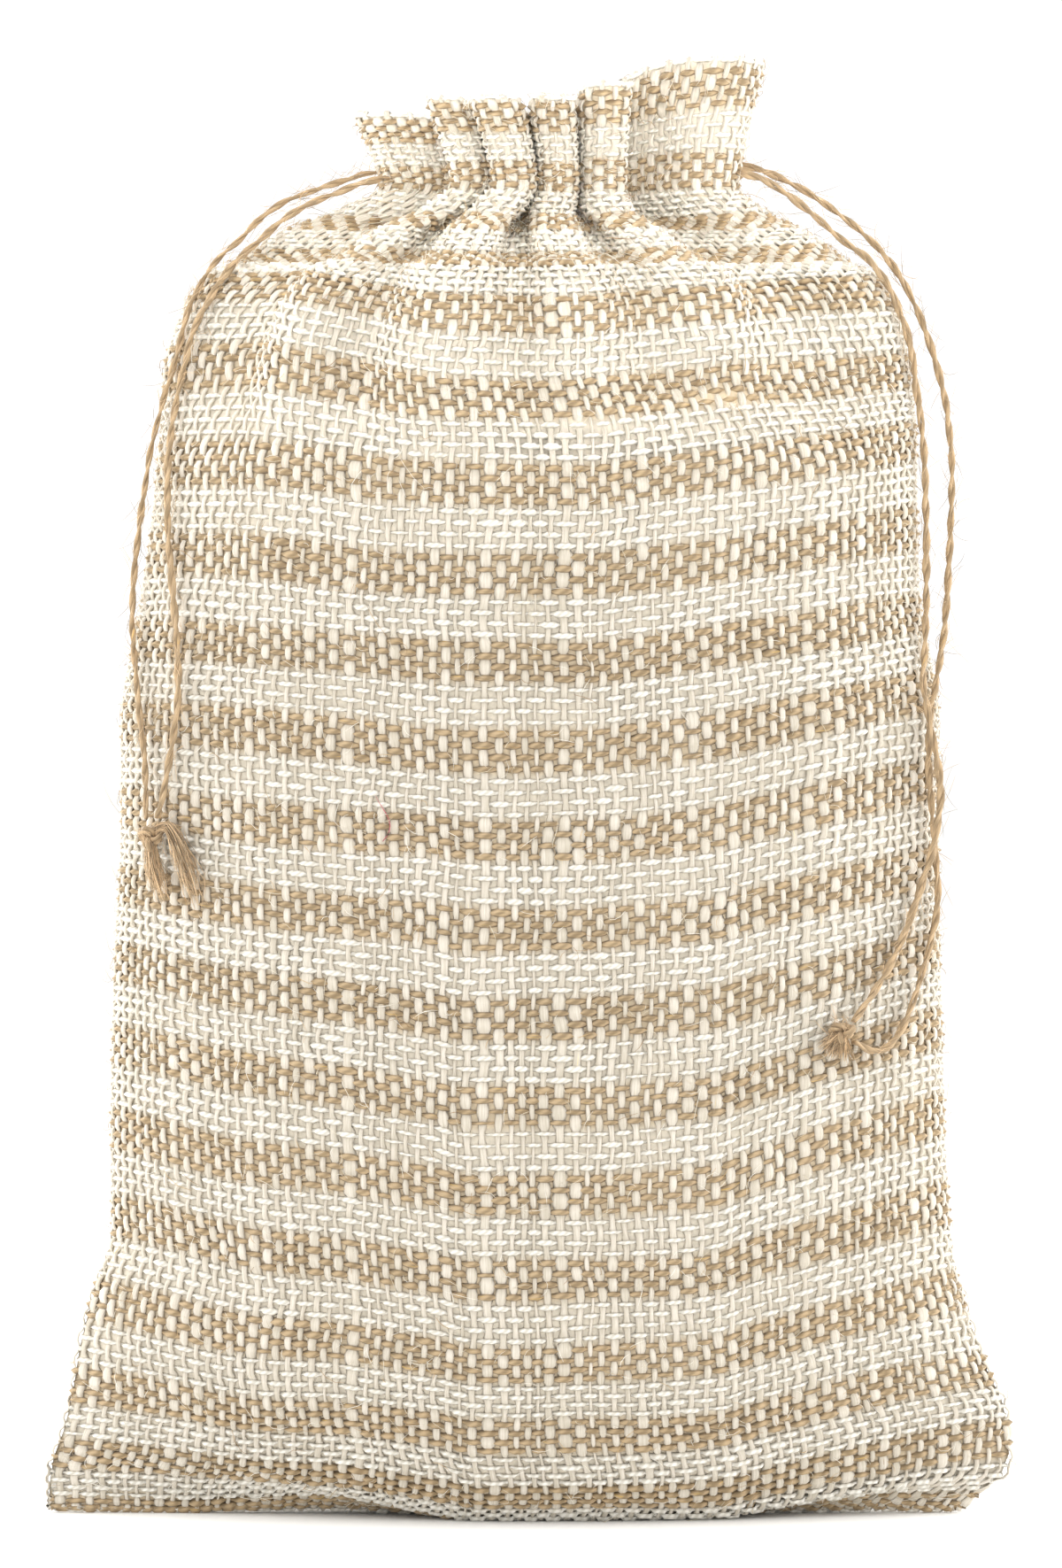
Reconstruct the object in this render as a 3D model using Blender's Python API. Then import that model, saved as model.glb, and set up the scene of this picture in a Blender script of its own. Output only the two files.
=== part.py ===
"""Burlap sack, filled out and standing, with its neck gathered on two drawstrings.

The cloth is one tube of constant girth, folded flat at the bottom. Each row of weft
is a closed ring of that girth: where the sack is slimmer than its cloth, the spare
cloth goes into pleats. Each warp thread keeps its length, which sets the heights.
+X is the right of the front view, -Y is the front, and the floor is Z = 0.
"""
import math

import bmesh
import bpy
import numpy as np

MM = 0.001

GIRTH = 406.0            # cloth round the sack, two widths of 203 mm
CLOTH_THICKNESS = 1.4
HEM_THICKNESS = 2.0      # the hem is the cloth folded over
HEM_START = 308.0        # along the warp, from the bottom fold
HEM_JOIN = 6.0           # the hem thickens over this much warp
NECK = 314.0             # where the drawstrings pinch the cloth
CLOTH_TOP = 338.0        # folded edge of the hem
FLAT_LIFT = 0.7          # the bottom presses flat below this height
MOST_SWING = 1.75        # how far a thread turns in the tightest pleats, in radians
FOLD_SHAPE = ((1, 1.0), (2, -0.22), (3, 0.05))   # waves in a pleat, and their shares
HEM_BLUR = 8             # the hem's height evens out over this many points
HEM_DIP = 3.2            # the hem's top edge dips this far between two pleats
LEVELS_FROM = 80.0       # the rows of weft dip at the middle up to here,
LEVEL_AT = 235.0         # and run level from here up
CORNER_INSET = 7.0       # the inside ends this far short of the bottom corners
INSIDE_FREE_FROM = 60.0  # from here up the inside leaves that short outline,
INSIDE_FREE_OVER = 30.0  # over this much warp
BURLAP_COLOUR = (0.60, 0.50, 0.34)
TWINE_COLOUR = (0.46, 0.31, 0.17)
ROW_STEP = 2.0           # steps in which the surface is worked out
AROUND = 480             # points round a ring, in which it is worked out
COLUMNS = 120            # faces round the solid
HALVINGS = 24            # steps of the search for a row's gather
FITS = 3                 # times a row's outline is fitted to its reach
FIT_LIMITS = (0.6, 1.2)  # least and most change of reach in one of them

# Sections up the warp: distance from the bottom fold, reach to the left, right, front
# and back, and how round the outline is (1 a pointed lens, 2 an ellipse). All in mm.
SECTION_COLUMNS = ("warp", "left", "right", "front", "back", "roundness")
SECTIONS = (
    (0, 101.0, 91.0, 0.0, 0.0, 1.05),
    (8, 101.5, 97.0, 7.9, 7.9, 1.10),
    (16, 99.0, 102.5, 15.3, 15.3, 1.15),
    (26, 96.5, 102.0, 22.4, 22.4, 1.25),
    (36, 95.0, 98.0, 27.2, 27.2, 1.40),
    (48, 91.8, 94.0, 30.8, 30.8, 1.60),
    (62, 87.5, 90.0, 33.6, 33.6, 1.80),
    (80, 87.6, 88.5, 35.8, 35.8, 1.92),
    (120, 86.8, 87.2, 38.0, 38.0, 2.00),
    (150, 85.4, 86.6, 39.5, 39.5, 2.05),
    (178, 85.2, 86.8, 40.5, 40.5, 2.05),
    (192, 83.4, 85.0, 42.5, 42.5, 2.05),
    (206, 81.0, 82.6, 44.5, 44.5, 2.05),
    (226, 78.4, 82.0, 46.0, 46.0, 2.05),
    (242, 77.0, 81.8, 46.5, 46.5, 2.05),
    (255, 76.2, 80.6, 46.6, 46.6, 2.05),
    (266, 73.2, 78.6, 46.0, 46.0, 2.05),
    (276, 68.5, 74.8, 42.3, 42.3, 2.05),
    (286, 60.5, 67.5, 35.8, 35.8, 2.05),
    (295, 53.5, 60.5, 30.2, 30.2, 2.05),
    (302, 46.0, 54.5, 26.0, 26.0, 2.05),
    (308, 37.5, 48.5, 23.0, 23.0, 2.05),
    (314, 30.0, 44.0, 21.5, 21.5, 2.05),
    (321, 31.0, 45.0, 23.0, 22.5, 2.05),
    (338, 35.5, 49.5, 32.0, 29.0, 2.05),
)

# Pleats from the left end round by the front: cloth in each, how far up the warp it
# starts, its share of the gather, and how far its hem stands above the neck.
PLEAT_COLUMNS = ("name", "cloth", "start", "share", "hem_rise")
PLEATS = (
    ("left_end", 60, 234, 0.74, 15.0),
    ("front_1", 32, 240, 1.00, 17.0),
    ("front_2", 37, 236, 1.00, 16.5),
    ("front_3", 30, 242, 1.00, 17.0),
    ("front_4", 34, 248, 0.97, 20.0),
    ("right_end", 80, 234, 0.72, 26.5),
    ("back_1", 30, 240, 1.00, 21.0),
    ("back_2", 38, 238, 1.00, 17.5),
    ("back_3", 36, 246, 1.00, 17.0),
    ("back_4", 29, 240, 0.97, 16.0),
)

# Rows of the solid, along the warp.
SOLID_ROWS = (0, 7, 15, 24, 34, 47, 62, 86, 118, 148, 176, 200, 222, 240, 254, 266,
              277, 287, 296, 303, 309, 315, 325, 338)

TIE_DIAMETER = 2.0
TIE_STEP = 4.6           # spacing of the points along a tie

# Routes of the ties, from the neck to their knot: x, y and z in mm.
LEFT_OUTER_ROUTE = (
    (-34.3, -1.4, 282.8), (-36.9, -0.9, 281.9), (-40.5, -1.2, 280.8), (-46.0, -1.8, 278.9),
    (-51.5, -2.6, 276.6), (-56.0, -3.8, 273.2), (-60.3, -5.5, 268.8), (-65.3, -7.9, 264.0),
    (-68.9, -9.8, 258.2), (-71.3, -11.4, 252.5), (-72.6, -12.0, 246.5), (-74.4, -11.8, 240.6),
    (-76.6, -10.3, 233.3), (-78.6, -8.5, 226.0), (-80.2, -7.6, 217.0), (-81.6, -7.2, 207.0),
    (-82.6, -8.0, 197.0), (-82.7, -11.0, 187.5), (-81.8, -14.8, 178.5), (-80.8, -17.2, 168.5),
    (-79.8, -18.8, 161.0), (-79.5, -19.9, 155.0), (-79.4, -20.7, 147.3),
)
LEFT_INNER_ROUTE = (
    (-32.1, -7.4, 281.1), (-35.9, -6.3, 280.2), (-40.3, -5.7, 278.4), (-45.6, -7.1, 276.2),
    (-51.0, -8.9, 272.8), (-55.5, -9.7, 268.7), (-60.3, -11.9, 264.4), (-64.6, -13.4, 258.9),
    (-67.6, -14.1, 253.5), (-70.1, -14.8, 247.9), (-71.6, -14.8, 241.6), (-73.1, -14.7, 235.4),
    (-74.3, -15.2, 228.6), (-74.9, -17.9, 220.5), (-74.9, -19.5, 210.0), (-74.0, -22.0, 198.5),
    (-72.9, -24.3, 186.5), (-72.4, -24.9, 175.5), (-73.2, -24.4, 166.0), (-74.6, -23.6, 158.0),
    (-75.8, -23.2, 152.0), (-76.8, -22.7, 147.5),
)
RIGHT_OUTER_ROUTE = (
    (47.0, 1.2, 284.4), (50.6, 1.8, 283.4), (54.6, 2.2, 281.6), (59.2, 2.2, 279.2),
    (63.6, 1.8, 276.2), (68.2, 1.4, 272.8), (72.6, 1.0, 268.9), (76.8, 0.6, 264.2),
    (80.4, 0.0, 258.4), (83.4, -0.8, 251.6), (85.9, -1.4, 244.4), (87.9, -1.8, 236.6),
    (89.2, -2.0, 228.4), (89.7, -2.2, 219.0), (89.4, -2.2, 208.0), (88.9, -2.6, 198.0),
    (88.3, -3.8, 189.5), (87.2, -6.6, 182.4), (85.9, -10.8, 176.0), (84.6, -14.2, 169.6),
    (84.1, -15.0, 162.6), (84.2, -14.6, 155.6), (84.8, -13.2, 149.0), (85.5, -12.2, 142.4),
    (86.1, -11.4, 135.4), (86.1, -11.6, 128.6), (84.9, -13.2, 122.4), (83.2, -15.4, 116.4),
    (81.0, -17.8, 109.8), (78.6, -20.0, 104.2), (75.6, -22.2, 100.2), (72.0, -24.4, 99.0),
    (67.9, -27.4, 101.3),
)
RIGHT_INNER_ROUTE = (
    (46.6, -3.8, 282.5), (49.9, -2.7, 281.5), (53.9, -2.0, 279.1), (58.0, -2.2, 276.1),
    (62.1, -3.1, 272.6), (66.5, -4.4, 268.6), (71.4, -6.6, 264.8), (75.6, -8.1, 259.4),
    (78.6, -8.1, 252.7), (80.7, -7.6, 245.7), (81.8, -7.2, 238.2), (82.9, -7.3, 230.0),
    (83.6, -7.6, 220.5), (83.9, -7.9, 211.0), (83.9, -8.8, 201.0), (83.8, -10.4, 191.0),
    (83.4, -13.4, 183.0), (82.9, -15.8, 176.4), (83.6, -17.6, 170.4), (84.9, -17.8, 163.8),
    (86.0, -16.6, 158.0), (86.6, -15.2, 152.6), (86.2, -15.8, 148.0), (85.2, -16.4, 142.6),
    (83.6, -16.4, 136.6), (81.6, -17.6, 130.6), (79.4, -19.4, 124.6), (76.9, -21.4, 119.2),
    (74.0, -23.4, 114.0), (71.0, -25.4, 109.6), (67.8, -27.6, 105.4),
)

# Knots: middle and half sizes, in mm. The wound strands stand out as ridges.
KNOT_RIDGES = 3
KNOT_RIDGE_HEIGHT = 0.22
LEFT_KNOT = {"middle": (-78.3, -21.7, 143.4), "half_size": (2.9, 2.6, 3.2)}
RIGHT_KNOT = {"middle": (65.4, -29.4, 103.2), "half_size": (2.9, 2.6, 2.8)}

# Frayed ends that hang from the knots: x, y, z and radius in mm.
LEFT_LONG_TAIL = (
    (-77.0, -22.2, 145.0, 1.0), (-74.7, -24.2, 146.0, 1.1), (-72.9, -25.2, 143.4, 1.2),
    (-71.4, -25.9, 139.6, 1.4), (-70.0, -26.5, 135.6, 1.5), (-68.6, -27.0, 130.6, 1.0),
)
LEFT_SHORT_TAIL = (
    (-78.2, -21.9, 143.0, 1.2), (-78.0, -22.0, 138.6, 1.4), (-77.0, -22.3, 134.8, 1.6),
    (-75.6, -23.0, 130.8, 1.0),
)
RIGHT_LONG_TAIL = (
    (65.3, -29.7, 103.0, 1.0), (65.0, -30.2, 99.2, 1.5), (64.6, -29.9, 95.8, 1.7),
)
RIGHT_SHORT_TAIL = (
    (65.2, -29.8, 103.0, 1.0), (62.6, -30.7, 100.6, 1.3), (60.2, -31.0, 98.2, 1.5),
)


def section_value(name, warp):
    """Smooth curve through one column of the sections, with no overshoot between them."""
    places = np.array([row[0] for row in SECTIONS], float)
    values = np.array([row[SECTION_COLUMNS.index(name)] for row in SECTIONS], float)
    steps = np.diff(places)
    rises = np.diff(values) / steps
    slopes = np.zeros(len(values))
    for i in range(1, len(values) - 1):
        if rises[i - 1] * rises[i] > 0:
            before = 2 * steps[i] + steps[i - 1]
            after = steps[i] + 2 * steps[i - 1]
            slopes[i] = (before + after) / (before / rises[i - 1] + after / rises[i])
    slopes[0] = rises[0]
    slopes[-1] = rises[-1]
    i = int(np.clip(np.searchsorted(places, warp) - 1, 0, len(steps) - 1))
    t = (warp - places[i]) / steps[i]
    return float((1 + 2 * t) * (1 - t) ** 2 * values[i]
                 + t * (1 - t) ** 2 * steps[i] * slopes[i]
                 + t * t * (3 - 2 * t) * values[i + 1]
                 + t * t * (t - 1) * steps[i] * slopes[i + 1])


def pleat_values(name):
    """One column of the pleats."""
    return np.array([row[PLEAT_COLUMNS.index(name)] for row in PLEATS])


def fold_profile(place):
    """How far a thread is turned from its line, across a pleat: round over the ridge, in
    the middle, and quick in the valleys, at -0.5 and 0.5."""
    return sum(share * np.sin(2 * np.pi * turn * place) for turn, share in FOLD_SHAPE)


def mean_advance(swing):
    """How far a thread gets along its line when it swings to and fro by this angle."""
    places = (np.arange(48) + 0.5) / 48 - 0.5
    return np.cos(np.multiply.outer(swing, fold_profile(places))).mean(-1)


def pleat_places():
    """Which pleat each point of a ring is in, and where in it, from -0.5 to 0.5."""
    cloth = pleat_values("cloth")
    cloth = cloth * GIRTH / cloth.sum()
    starts = np.concatenate([[0], np.cumsum(cloth)]) - cloth[0] / 2
    threads = np.arange(AROUND) * GIRTH / AROUND
    pleat = np.searchsorted(starts, threads, side="right") - 1
    wrapped = pleat == len(PLEATS)
    threads = np.where(wrapped, threads - GIRTH, threads)
    pleat = np.where(wrapped, 0, pleat)
    return pleat, (threads - starts[pleat]) / cloth[pleat] - 0.5


PLEAT_OF, PLACE_IN_PLEAT = pleat_places()


def oval(left, right, front, back, roundness):
    """Outline of the stuffed sack without its pleats, from the left end by the front."""
    angle = np.arange(4 * AROUND) / (4 * AROUND) * 2 * np.pi
    across = -np.cos(angle)
    out = -np.sin(angle)
    x = np.where(across < 0, left, right) * across
    y = np.sign(out) * np.where(out < 0, front, back) * np.abs(out) ** (2 / roundness)
    return x, y


def pleated_ring(warp, reach, roundness):
    """Closed ring of the cloth's girth on the oval of the given reach."""
    x, y = oval(*reach, roundness)
    step_x = np.roll(x, -1) - x
    step_y = np.roll(y, -1) - y
    steps = np.hypot(step_x, step_y)
    length = steps.sum()
    angle = np.unwrap(np.arctan2(step_y, step_x))
    middle = (np.cumsum(steps) - steps / 2) / length
    middle = np.concatenate([middle - 1, middle, middle + 1])
    angle = np.concatenate([angle - 2 * np.pi, angle, angle + 2 * np.pi])

    starts = pleat_values("start")
    grown = np.clip((warp - starts) / (NECK - starts), 0, 1)
    weights = np.sqrt(grown * grown * (3 - 2 * grown)) * pleat_values("share")
    cloth = np.bincount(PLEAT_OF, minlength=len(PLEATS)) / AROUND
    swing = np.zeros(len(PLEATS))
    if length < GIRTH and weights.max() > 0:
        low, high = 0.0, MOST_SWING
        for _ in range(HALVINGS):
            gain = (low + high) / 2
            swing = gain * weights
            if (mean_advance(swing) * cloth).sum() > length / GIRTH:
                low = gain
            else:
                high = gain
    advance = mean_advance(swing)[PLEAT_OF]
    along = (np.cumsum(advance) - advance / 2) / advance.sum()
    heading = np.interp(along, middle, angle)
    heading = heading + swing[PLEAT_OF] * fold_profile(PLACE_IN_PLEAT)
    x = np.concatenate([[0], np.cumsum(np.cos(heading))]) * GIRTH / AROUND
    y = np.concatenate([[0], np.cumsum(np.sin(heading))]) * GIRTH / AROUND
    closing = np.linspace(0, 1, AROUND + 1)
    return (x - x[-1] * closing)[:-1], (y - y[-1] * closing)[:-1]


def ring(warp):
    """Ring at this place up the warp, fitted to the reach that the sections give."""
    wanted = np.array([section_value(name, warp) for name in ("left", "right", "front", "back")])
    wanted = np.maximum(wanted, 0.01)
    roundness = section_value("roundness", warp)
    reach = wanted.copy()
    for _ in range(FITS):
        x, y = pleated_ring(warp, reach, roundness)
        wide = (wanted[0] + wanted[1]) / (x.max() - x.min())
        deep = (wanted[2] + wanted[3]) / max(y.max() - y.min(), 0.02)
        reach = reach * np.clip((wide, wide, deep, deep), *FIT_LIMITS)
    x = (x - x.min()) * wide - wanted[0]
    y = (y - y.min()) * deep - wanted[2]
    return x, y


def blur_round(values, reach):
    """Average round a ring over a few points."""
    weights = np.exp(-0.5 * (np.arange(-3 * reach, 3 * reach + 1) / reach) ** 2)
    weights /= weights.sum()
    total = np.zeros_like(values)
    for shift, weight in zip(range(-3 * reach, 3 * reach + 1), weights):
        total += weight * np.roll(values, shift)
    return total


def cloth_surface():
    """Middle of the cloth, by row and point: places up the warp, and x, y and z in mm."""
    warps = np.arange(0, CLOTH_TOP + 0.5 * ROW_STEP, ROW_STEP)
    warps[-1] = CLOTH_TOP
    rings = [ring(warp) for warp in warps]
    x = np.array([points[0] for points in rings])
    y = np.array([points[1] for points in rings])
    z = np.zeros_like(x)
    for row in range(1, len(warps)):
        sideways = np.hypot(x[row] - x[row - 1], y[row] - y[row - 1])
        step = warps[row] - warps[row - 1]
        z[row] = z[row - 1] + np.sqrt(np.maximum(step ** 2 - sideways ** 2, 0))
    levelled = np.clip((warps - LEVELS_FROM) / (LEVEL_AT - LEVELS_FROM), 0, 1)
    levelled = (levelled * levelled * (3 - 2 * levelled))[:, None]
    z += levelled * (z.mean(1, keepdims=True) - z)
    hem_rise = blur_round(pleat_values("hem_rise")[PLEAT_OF], HEM_BLUR)
    hem_rise -= HEM_DIP * np.abs(2 * PLACE_IN_PLEAT) ** 3
    above = np.clip((warps - NECK) / (CLOTH_TOP - NECK), 0, 1)[:, None]
    neck = np.array([np.interp(NECK, warps, z[:, column]) for column in range(AROUND)])
    z = np.where(above > 0, neck + above * hem_rise, z)
    return warps, x, y, np.maximum(z - FLAT_LIFT, 0)


def at_rows(warps, values, rows, columns):
    """The surface's values at chosen places up the warp and chosen points round."""
    picked = values[:, columns]
    return np.array([[np.interp(row, warps, picked[:, c]) for c in range(len(columns))]
                     for row in rows])


def outward(points):
    """Unit normals of a grid of points, row by row up the cloth and round it."""
    around = np.roll(points, -1, 1) - np.roll(points, 1, 1)
    up = np.gradient(points, axis=0)
    normals = np.cross(around, up)
    normals[0] = (0, 0, -1)
    return normals / np.maximum(np.linalg.norm(normals, axis=2, keepdims=True), 1e-9)


def cloth_solid():
    """Hollow shell of the cloth: outer and inner skin, joined round the hem's top edge."""
    warps, x, y, z = cloth_surface()
    columns = np.arange(COLUMNS) * AROUND // COLUMNS
    rows = np.array(SOLID_ROWS, float)
    middle = np.stack([at_rows(warps, values, rows, columns) for values in (x, y, z)], -1)
    normals = outward(middle)
    hem = np.clip((rows - HEM_START) / HEM_JOIN, 0, 1)[:, None, None]
    half = (CLOTH_THICKNESS + (HEM_THICKNESS - CLOTH_THICKNESS) * hem) / 2
    middle[..., 2] += CLOTH_THICKNESS / 2
    outer = middle + normals * half
    outer[..., 2] = np.maximum(outer[..., 2], 0)
    outer[0, :, 2] = 0
    flat = middle[..., 2] < CLOTH_THICKNESS / 2 + 0.01
    outer[flat, 2] = 0
    inner = middle - normals * half
    inner[..., 2] = np.maximum(inner[..., 2], CLOTH_THICKNESS)
    # Low down, where the sack ends in two sharp corners, the inside stops short of them.
    reach = np.maximum(np.abs(middle[..., 0]).max(1), 1)
    depth = np.maximum(np.abs(middle[..., 1]).max(1), 1)
    short = middle.copy()
    short[..., 0] *= (1 - CORNER_INSET / reach)[:, None]
    short[..., 1] *= (1 - CLOTH_THICKNESS / 2 / depth)[:, None]
    short[..., 2] = np.maximum(middle[..., 2], CLOTH_THICKNESS)
    free = np.clip((rows - INSIDE_FREE_FROM) / INSIDE_FREE_OVER, 0, 1)[:, None, None]
    inner = short + (inner - short) * free

    cloth = bmesh.new()
    skins = []
    for skin in (outer, inner):
        grid = []
        for row in range(len(rows)):
            ring_points = []
            for column in range(COLUMNS):
                twin = COLUMNS - column
                if row == 0 and column > COLUMNS // 2:
                    ring_points.append(ring_points[twin])
                else:
                    ring_points.append(cloth.verts.new(skin[row, column] * MM))
            grid.append(ring_points)
        skins.append(grid)
    for grid, turned in zip(skins, (False, True)):
        for low, high in zip(grid, grid[1:]):
            for column in range(COLUMNS):
                after = (column + 1) % COLUMNS
                corners = [low[column], low[after], high[after], high[column]]
                corners = list(dict.fromkeys(corners))
                cloth.faces.new(corners[::-1] if turned else corners)
    for column in range(COLUMNS):
        after = (column + 1) % COLUMNS
        cloth.faces.new([skins[0][-1][column], skins[0][-1][after],
                         skins[1][-1][after], skins[1][-1][column]])
    bmesh.ops.triangulate(cloth, faces=cloth.faces)
    return cloth


def add_object(name, mesh_points, colour, roughness):
    """Object of its own mesh and its own material."""
    mesh = bpy.data.meshes.new(name)
    mesh_points.to_mesh(mesh)
    mesh_points.free()
    mesh.shade_smooth()
    piece = bpy.data.objects.new(name, mesh)
    bpy.context.collection.objects.link(piece)
    piece.data.materials.append(plain_material(name, colour, roughness))
    return piece


def plain_material(name, colour, roughness):
    """Principled material of one colour."""
    material = bpy.data.materials.new(name)
    material.use_nodes = True
    shader = material.node_tree.nodes["Principled BSDF"]
    shader.inputs["Base Color"].default_value = (*colour, 1)
    shader.inputs["Roughness"].default_value = roughness
    shader.inputs["Metallic"].default_value = 0
    return material


def smooth_route(route, spacing):
    """Points at an even spacing on the smooth curve through a route's own points."""
    points = np.array(route, float)
    ends = np.concatenate([2 * points[:1] - points[1:2], points, 2 * points[-1:] - points[-2:-1]])
    fine = []
    for before, start, end, after in zip(ends, ends[1:], ends[2:], ends[3:]):
        for t in np.arange(12) / 12:
            fine.append(0.5 * (2 * start + (end - before) * t
                               + (2 * before - 5 * start + 4 * end - after) * t ** 2
                               + (3 * start - before - 3 * end + after) * t ** 3))
    fine.append(points[-1])
    fine = np.array(fine)
    along = np.concatenate([[0], np.cumsum(np.linalg.norm(np.diff(fine, axis=0), axis=1))])
    places = np.linspace(0, along[-1], max(int(round(along[-1] / spacing)), 1) + 1)
    return np.stack([np.interp(places, along, fine[:, axis]) for axis in range(3)], 1)


def add_tie(name, route):
    """One strand of drawstring, as a round tube with closed ends."""
    points = smooth_route(route, TIE_STEP)
    curve = bpy.data.curves.new(name, "CURVE")
    curve.dimensions = "3D"
    curve.bevel_depth = TIE_DIAMETER / 2 * MM
    curve.bevel_resolution = 2
    curve.use_fill_caps = True
    spline = curve.splines.new("POLY")
    spline.points.add(len(points) - 1)
    for target, point in zip(spline.points, points):
        target.co = (*(point * MM), 1)
    tie = bpy.data.objects.new(name, curve)
    bpy.context.collection.objects.link(tie)
    curve.materials.append(plain_material(name, TWINE_COLOUR, 0.9))
    return tie


def knot_ball(knot):
    """Lump of an overhand knot, with its strands as ridges that wind round it."""
    ball = bmesh.new()
    bmesh.ops.create_uvsphere(ball, u_segments=24, v_segments=14, radius=1)
    for vert in ball.verts:
        height = max(min(vert.co.z, 1), -1)
        turn = math.atan2(vert.co.y, vert.co.x)
        wave = math.cos(KNOT_RIDGES * (turn + math.pi / 2 * height))
        fade = 1 - height ** 4
        half_size = np.array(knot["half_size"]) + KNOT_RIDGE_HEIGHT * wave * fade
        vert.co = [(middle + size * place) * MM for middle, size, place
                   in zip(knot["middle"], half_size, vert.co)]
    return ball


def tail_tube(tail, sides=6):
    """Tapered tube with closed ends through a tail's points."""
    tube = bmesh.new()
    path = np.array(tail, float)
    ahead = np.gradient(path[:, :3], axis=0)
    ahead /= np.linalg.norm(ahead, axis=1, keepdims=True)
    rings = []
    for point, direction in zip(path, ahead):
        across = np.cross(direction, (0, 1, 0))
        across /= np.linalg.norm(across)
        out = np.cross(across, direction)
        turns = np.arange(sides) / sides * 2 * np.pi
        rings.append([tube.verts.new((point[:3] + point[3] * (across * math.cos(turn)
                                                             + out * math.sin(turn))) * MM)
                      for turn in turns])
    for low, high in zip(rings, rings[1:]):
        for side in range(sides):
            after = (side + 1) % sides
            tube.faces.new([low[side], low[after], high[after], high[side]])
    tube.faces.new(rings[0][::-1])
    tube.faces.new(rings[-1])
    bmesh.ops.recalc_face_normals(tube, faces=tube.faces)
    return tube


def add_knot(name, knot, tails):
    """Knot with its frayed ends, joined into one solid."""
    piece = add_object(name, knot_ball(knot), TWINE_COLOUR, 0.9)
    for number, tail in enumerate(tails, 1):
        guide = add_object(f"{name}_tail_{number}", tail_tube(tail), TWINE_COLOUR, 0.9)
        guide.hide_render = True
        guide.display_type = "WIRE"
        union = piece.modifiers.new(guide.name, "BOOLEAN")
        union.operation = "UNION"
        union.solver = "EXACT"
        union.object = guide
    return piece


def main():
    """Clear the scene and build the sack."""
    for item in list(bpy.data.objects):
        bpy.data.objects.remove(item, do_unlink=True)
    add_object("sack_cloth", cloth_solid(), BURLAP_COLOUR, 0.9)
    add_tie("left_outer_tie", LEFT_OUTER_ROUTE)
    add_tie("left_inner_tie", LEFT_INNER_ROUTE)
    add_tie("right_outer_tie", RIGHT_OUTER_ROUTE)
    add_tie("right_inner_tie", RIGHT_INNER_ROUTE)
    add_knot("left_knot", LEFT_KNOT, (LEFT_LONG_TAIL, LEFT_SHORT_TAIL))
    add_knot("right_knot", RIGHT_KNOT, (RIGHT_LONG_TAIL, RIGHT_SHORT_TAIL))


main()
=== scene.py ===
"""Burlap sack with a drawn neck: its woven look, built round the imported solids.

The cloth follows the same rings of constant girth as the solid does. Its warp and weft
are laid on that surface thread by thread, over a thin ground cloth. Sizes are in mm,
and become metres where a mesh is made. +X is the right of the front view, -Y the front.
"""
import functools
import math

import bpy
import numpy as np
from bpy.props import FloatProperty, FloatVectorProperty, IntProperty, PointerProperty
from bpy.types import Operator, Panel, PropertyGroup
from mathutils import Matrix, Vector


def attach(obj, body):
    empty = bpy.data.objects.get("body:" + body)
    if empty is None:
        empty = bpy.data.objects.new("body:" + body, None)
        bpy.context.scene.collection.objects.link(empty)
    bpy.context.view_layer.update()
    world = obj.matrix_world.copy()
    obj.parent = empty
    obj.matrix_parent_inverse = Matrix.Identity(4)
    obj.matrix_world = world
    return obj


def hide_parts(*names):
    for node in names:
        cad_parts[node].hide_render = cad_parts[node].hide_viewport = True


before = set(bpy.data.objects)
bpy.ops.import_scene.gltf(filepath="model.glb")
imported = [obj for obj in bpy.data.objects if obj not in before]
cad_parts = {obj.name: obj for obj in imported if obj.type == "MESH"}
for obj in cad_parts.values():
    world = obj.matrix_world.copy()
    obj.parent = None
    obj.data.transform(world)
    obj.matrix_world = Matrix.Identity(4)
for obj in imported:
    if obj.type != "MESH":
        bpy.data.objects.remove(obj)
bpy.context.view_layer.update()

bl_info = {
    "name": "Striped burlap sack",
    "version": (1, 0, 0),
    "blender": (4, 5, 0),
    "location": "3D View > Sidebar > Burlap sack",
    "description": "Builds a standing burlap sack from its woven threads, with its twine ties",
    "category": "Add Mesh",
}

MM = 0.001


# ---------------------------------------------------------------- shape of the cloth

GIRTH = 406.0            # cloth round the sack
CLOTH_THICKNESS = 1.4    # of the solid
HEM_START = 308.0        # along the warp, from the bottom fold
NECK = 314.0             # where the drawstrings pinch the cloth
CLOTH_TOP = 338.0        # folded edge of the hem
FLAT_LIFT = 0.7          # the bottom presses flat below this height
MOST_SWING = 1.75        # how far a thread turns in the tightest pleats, in radians
FOLD_SHAPE = ((1, 1.0), (2, -0.22), (3, 0.05))   # waves in a pleat, and their shares
HEM_BLUR = 8             # the hem's height evens out over this many points
HEM_DIP = 3.2            # the hem's top edge dips this far between two pleats
LEVELS_FROM = 80.0       # the rows of weft dip at the middle up to here,
LEVEL_AT = 235.0         # and run level from here up
ROW_STEP = 2.0           # steps in which the surface is worked out
AROUND = 480             # points round a ring, in which it is worked out
OVAL_POINTS = 4 * AROUND       # and round its outline without the pleats
FOLD_PLACES = 48         # places across a pleat where its folds are averaged
HALVINGS = 24            # steps of the search for a row's gather
FITS = 3                 # times a row's outline is fitted to its reach
FIT_LIMITS = (0.6, 1.2)  # least and most change of reach in one of these
LEAST_REACH = 0.01       # no row's outline is flatter than this

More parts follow.
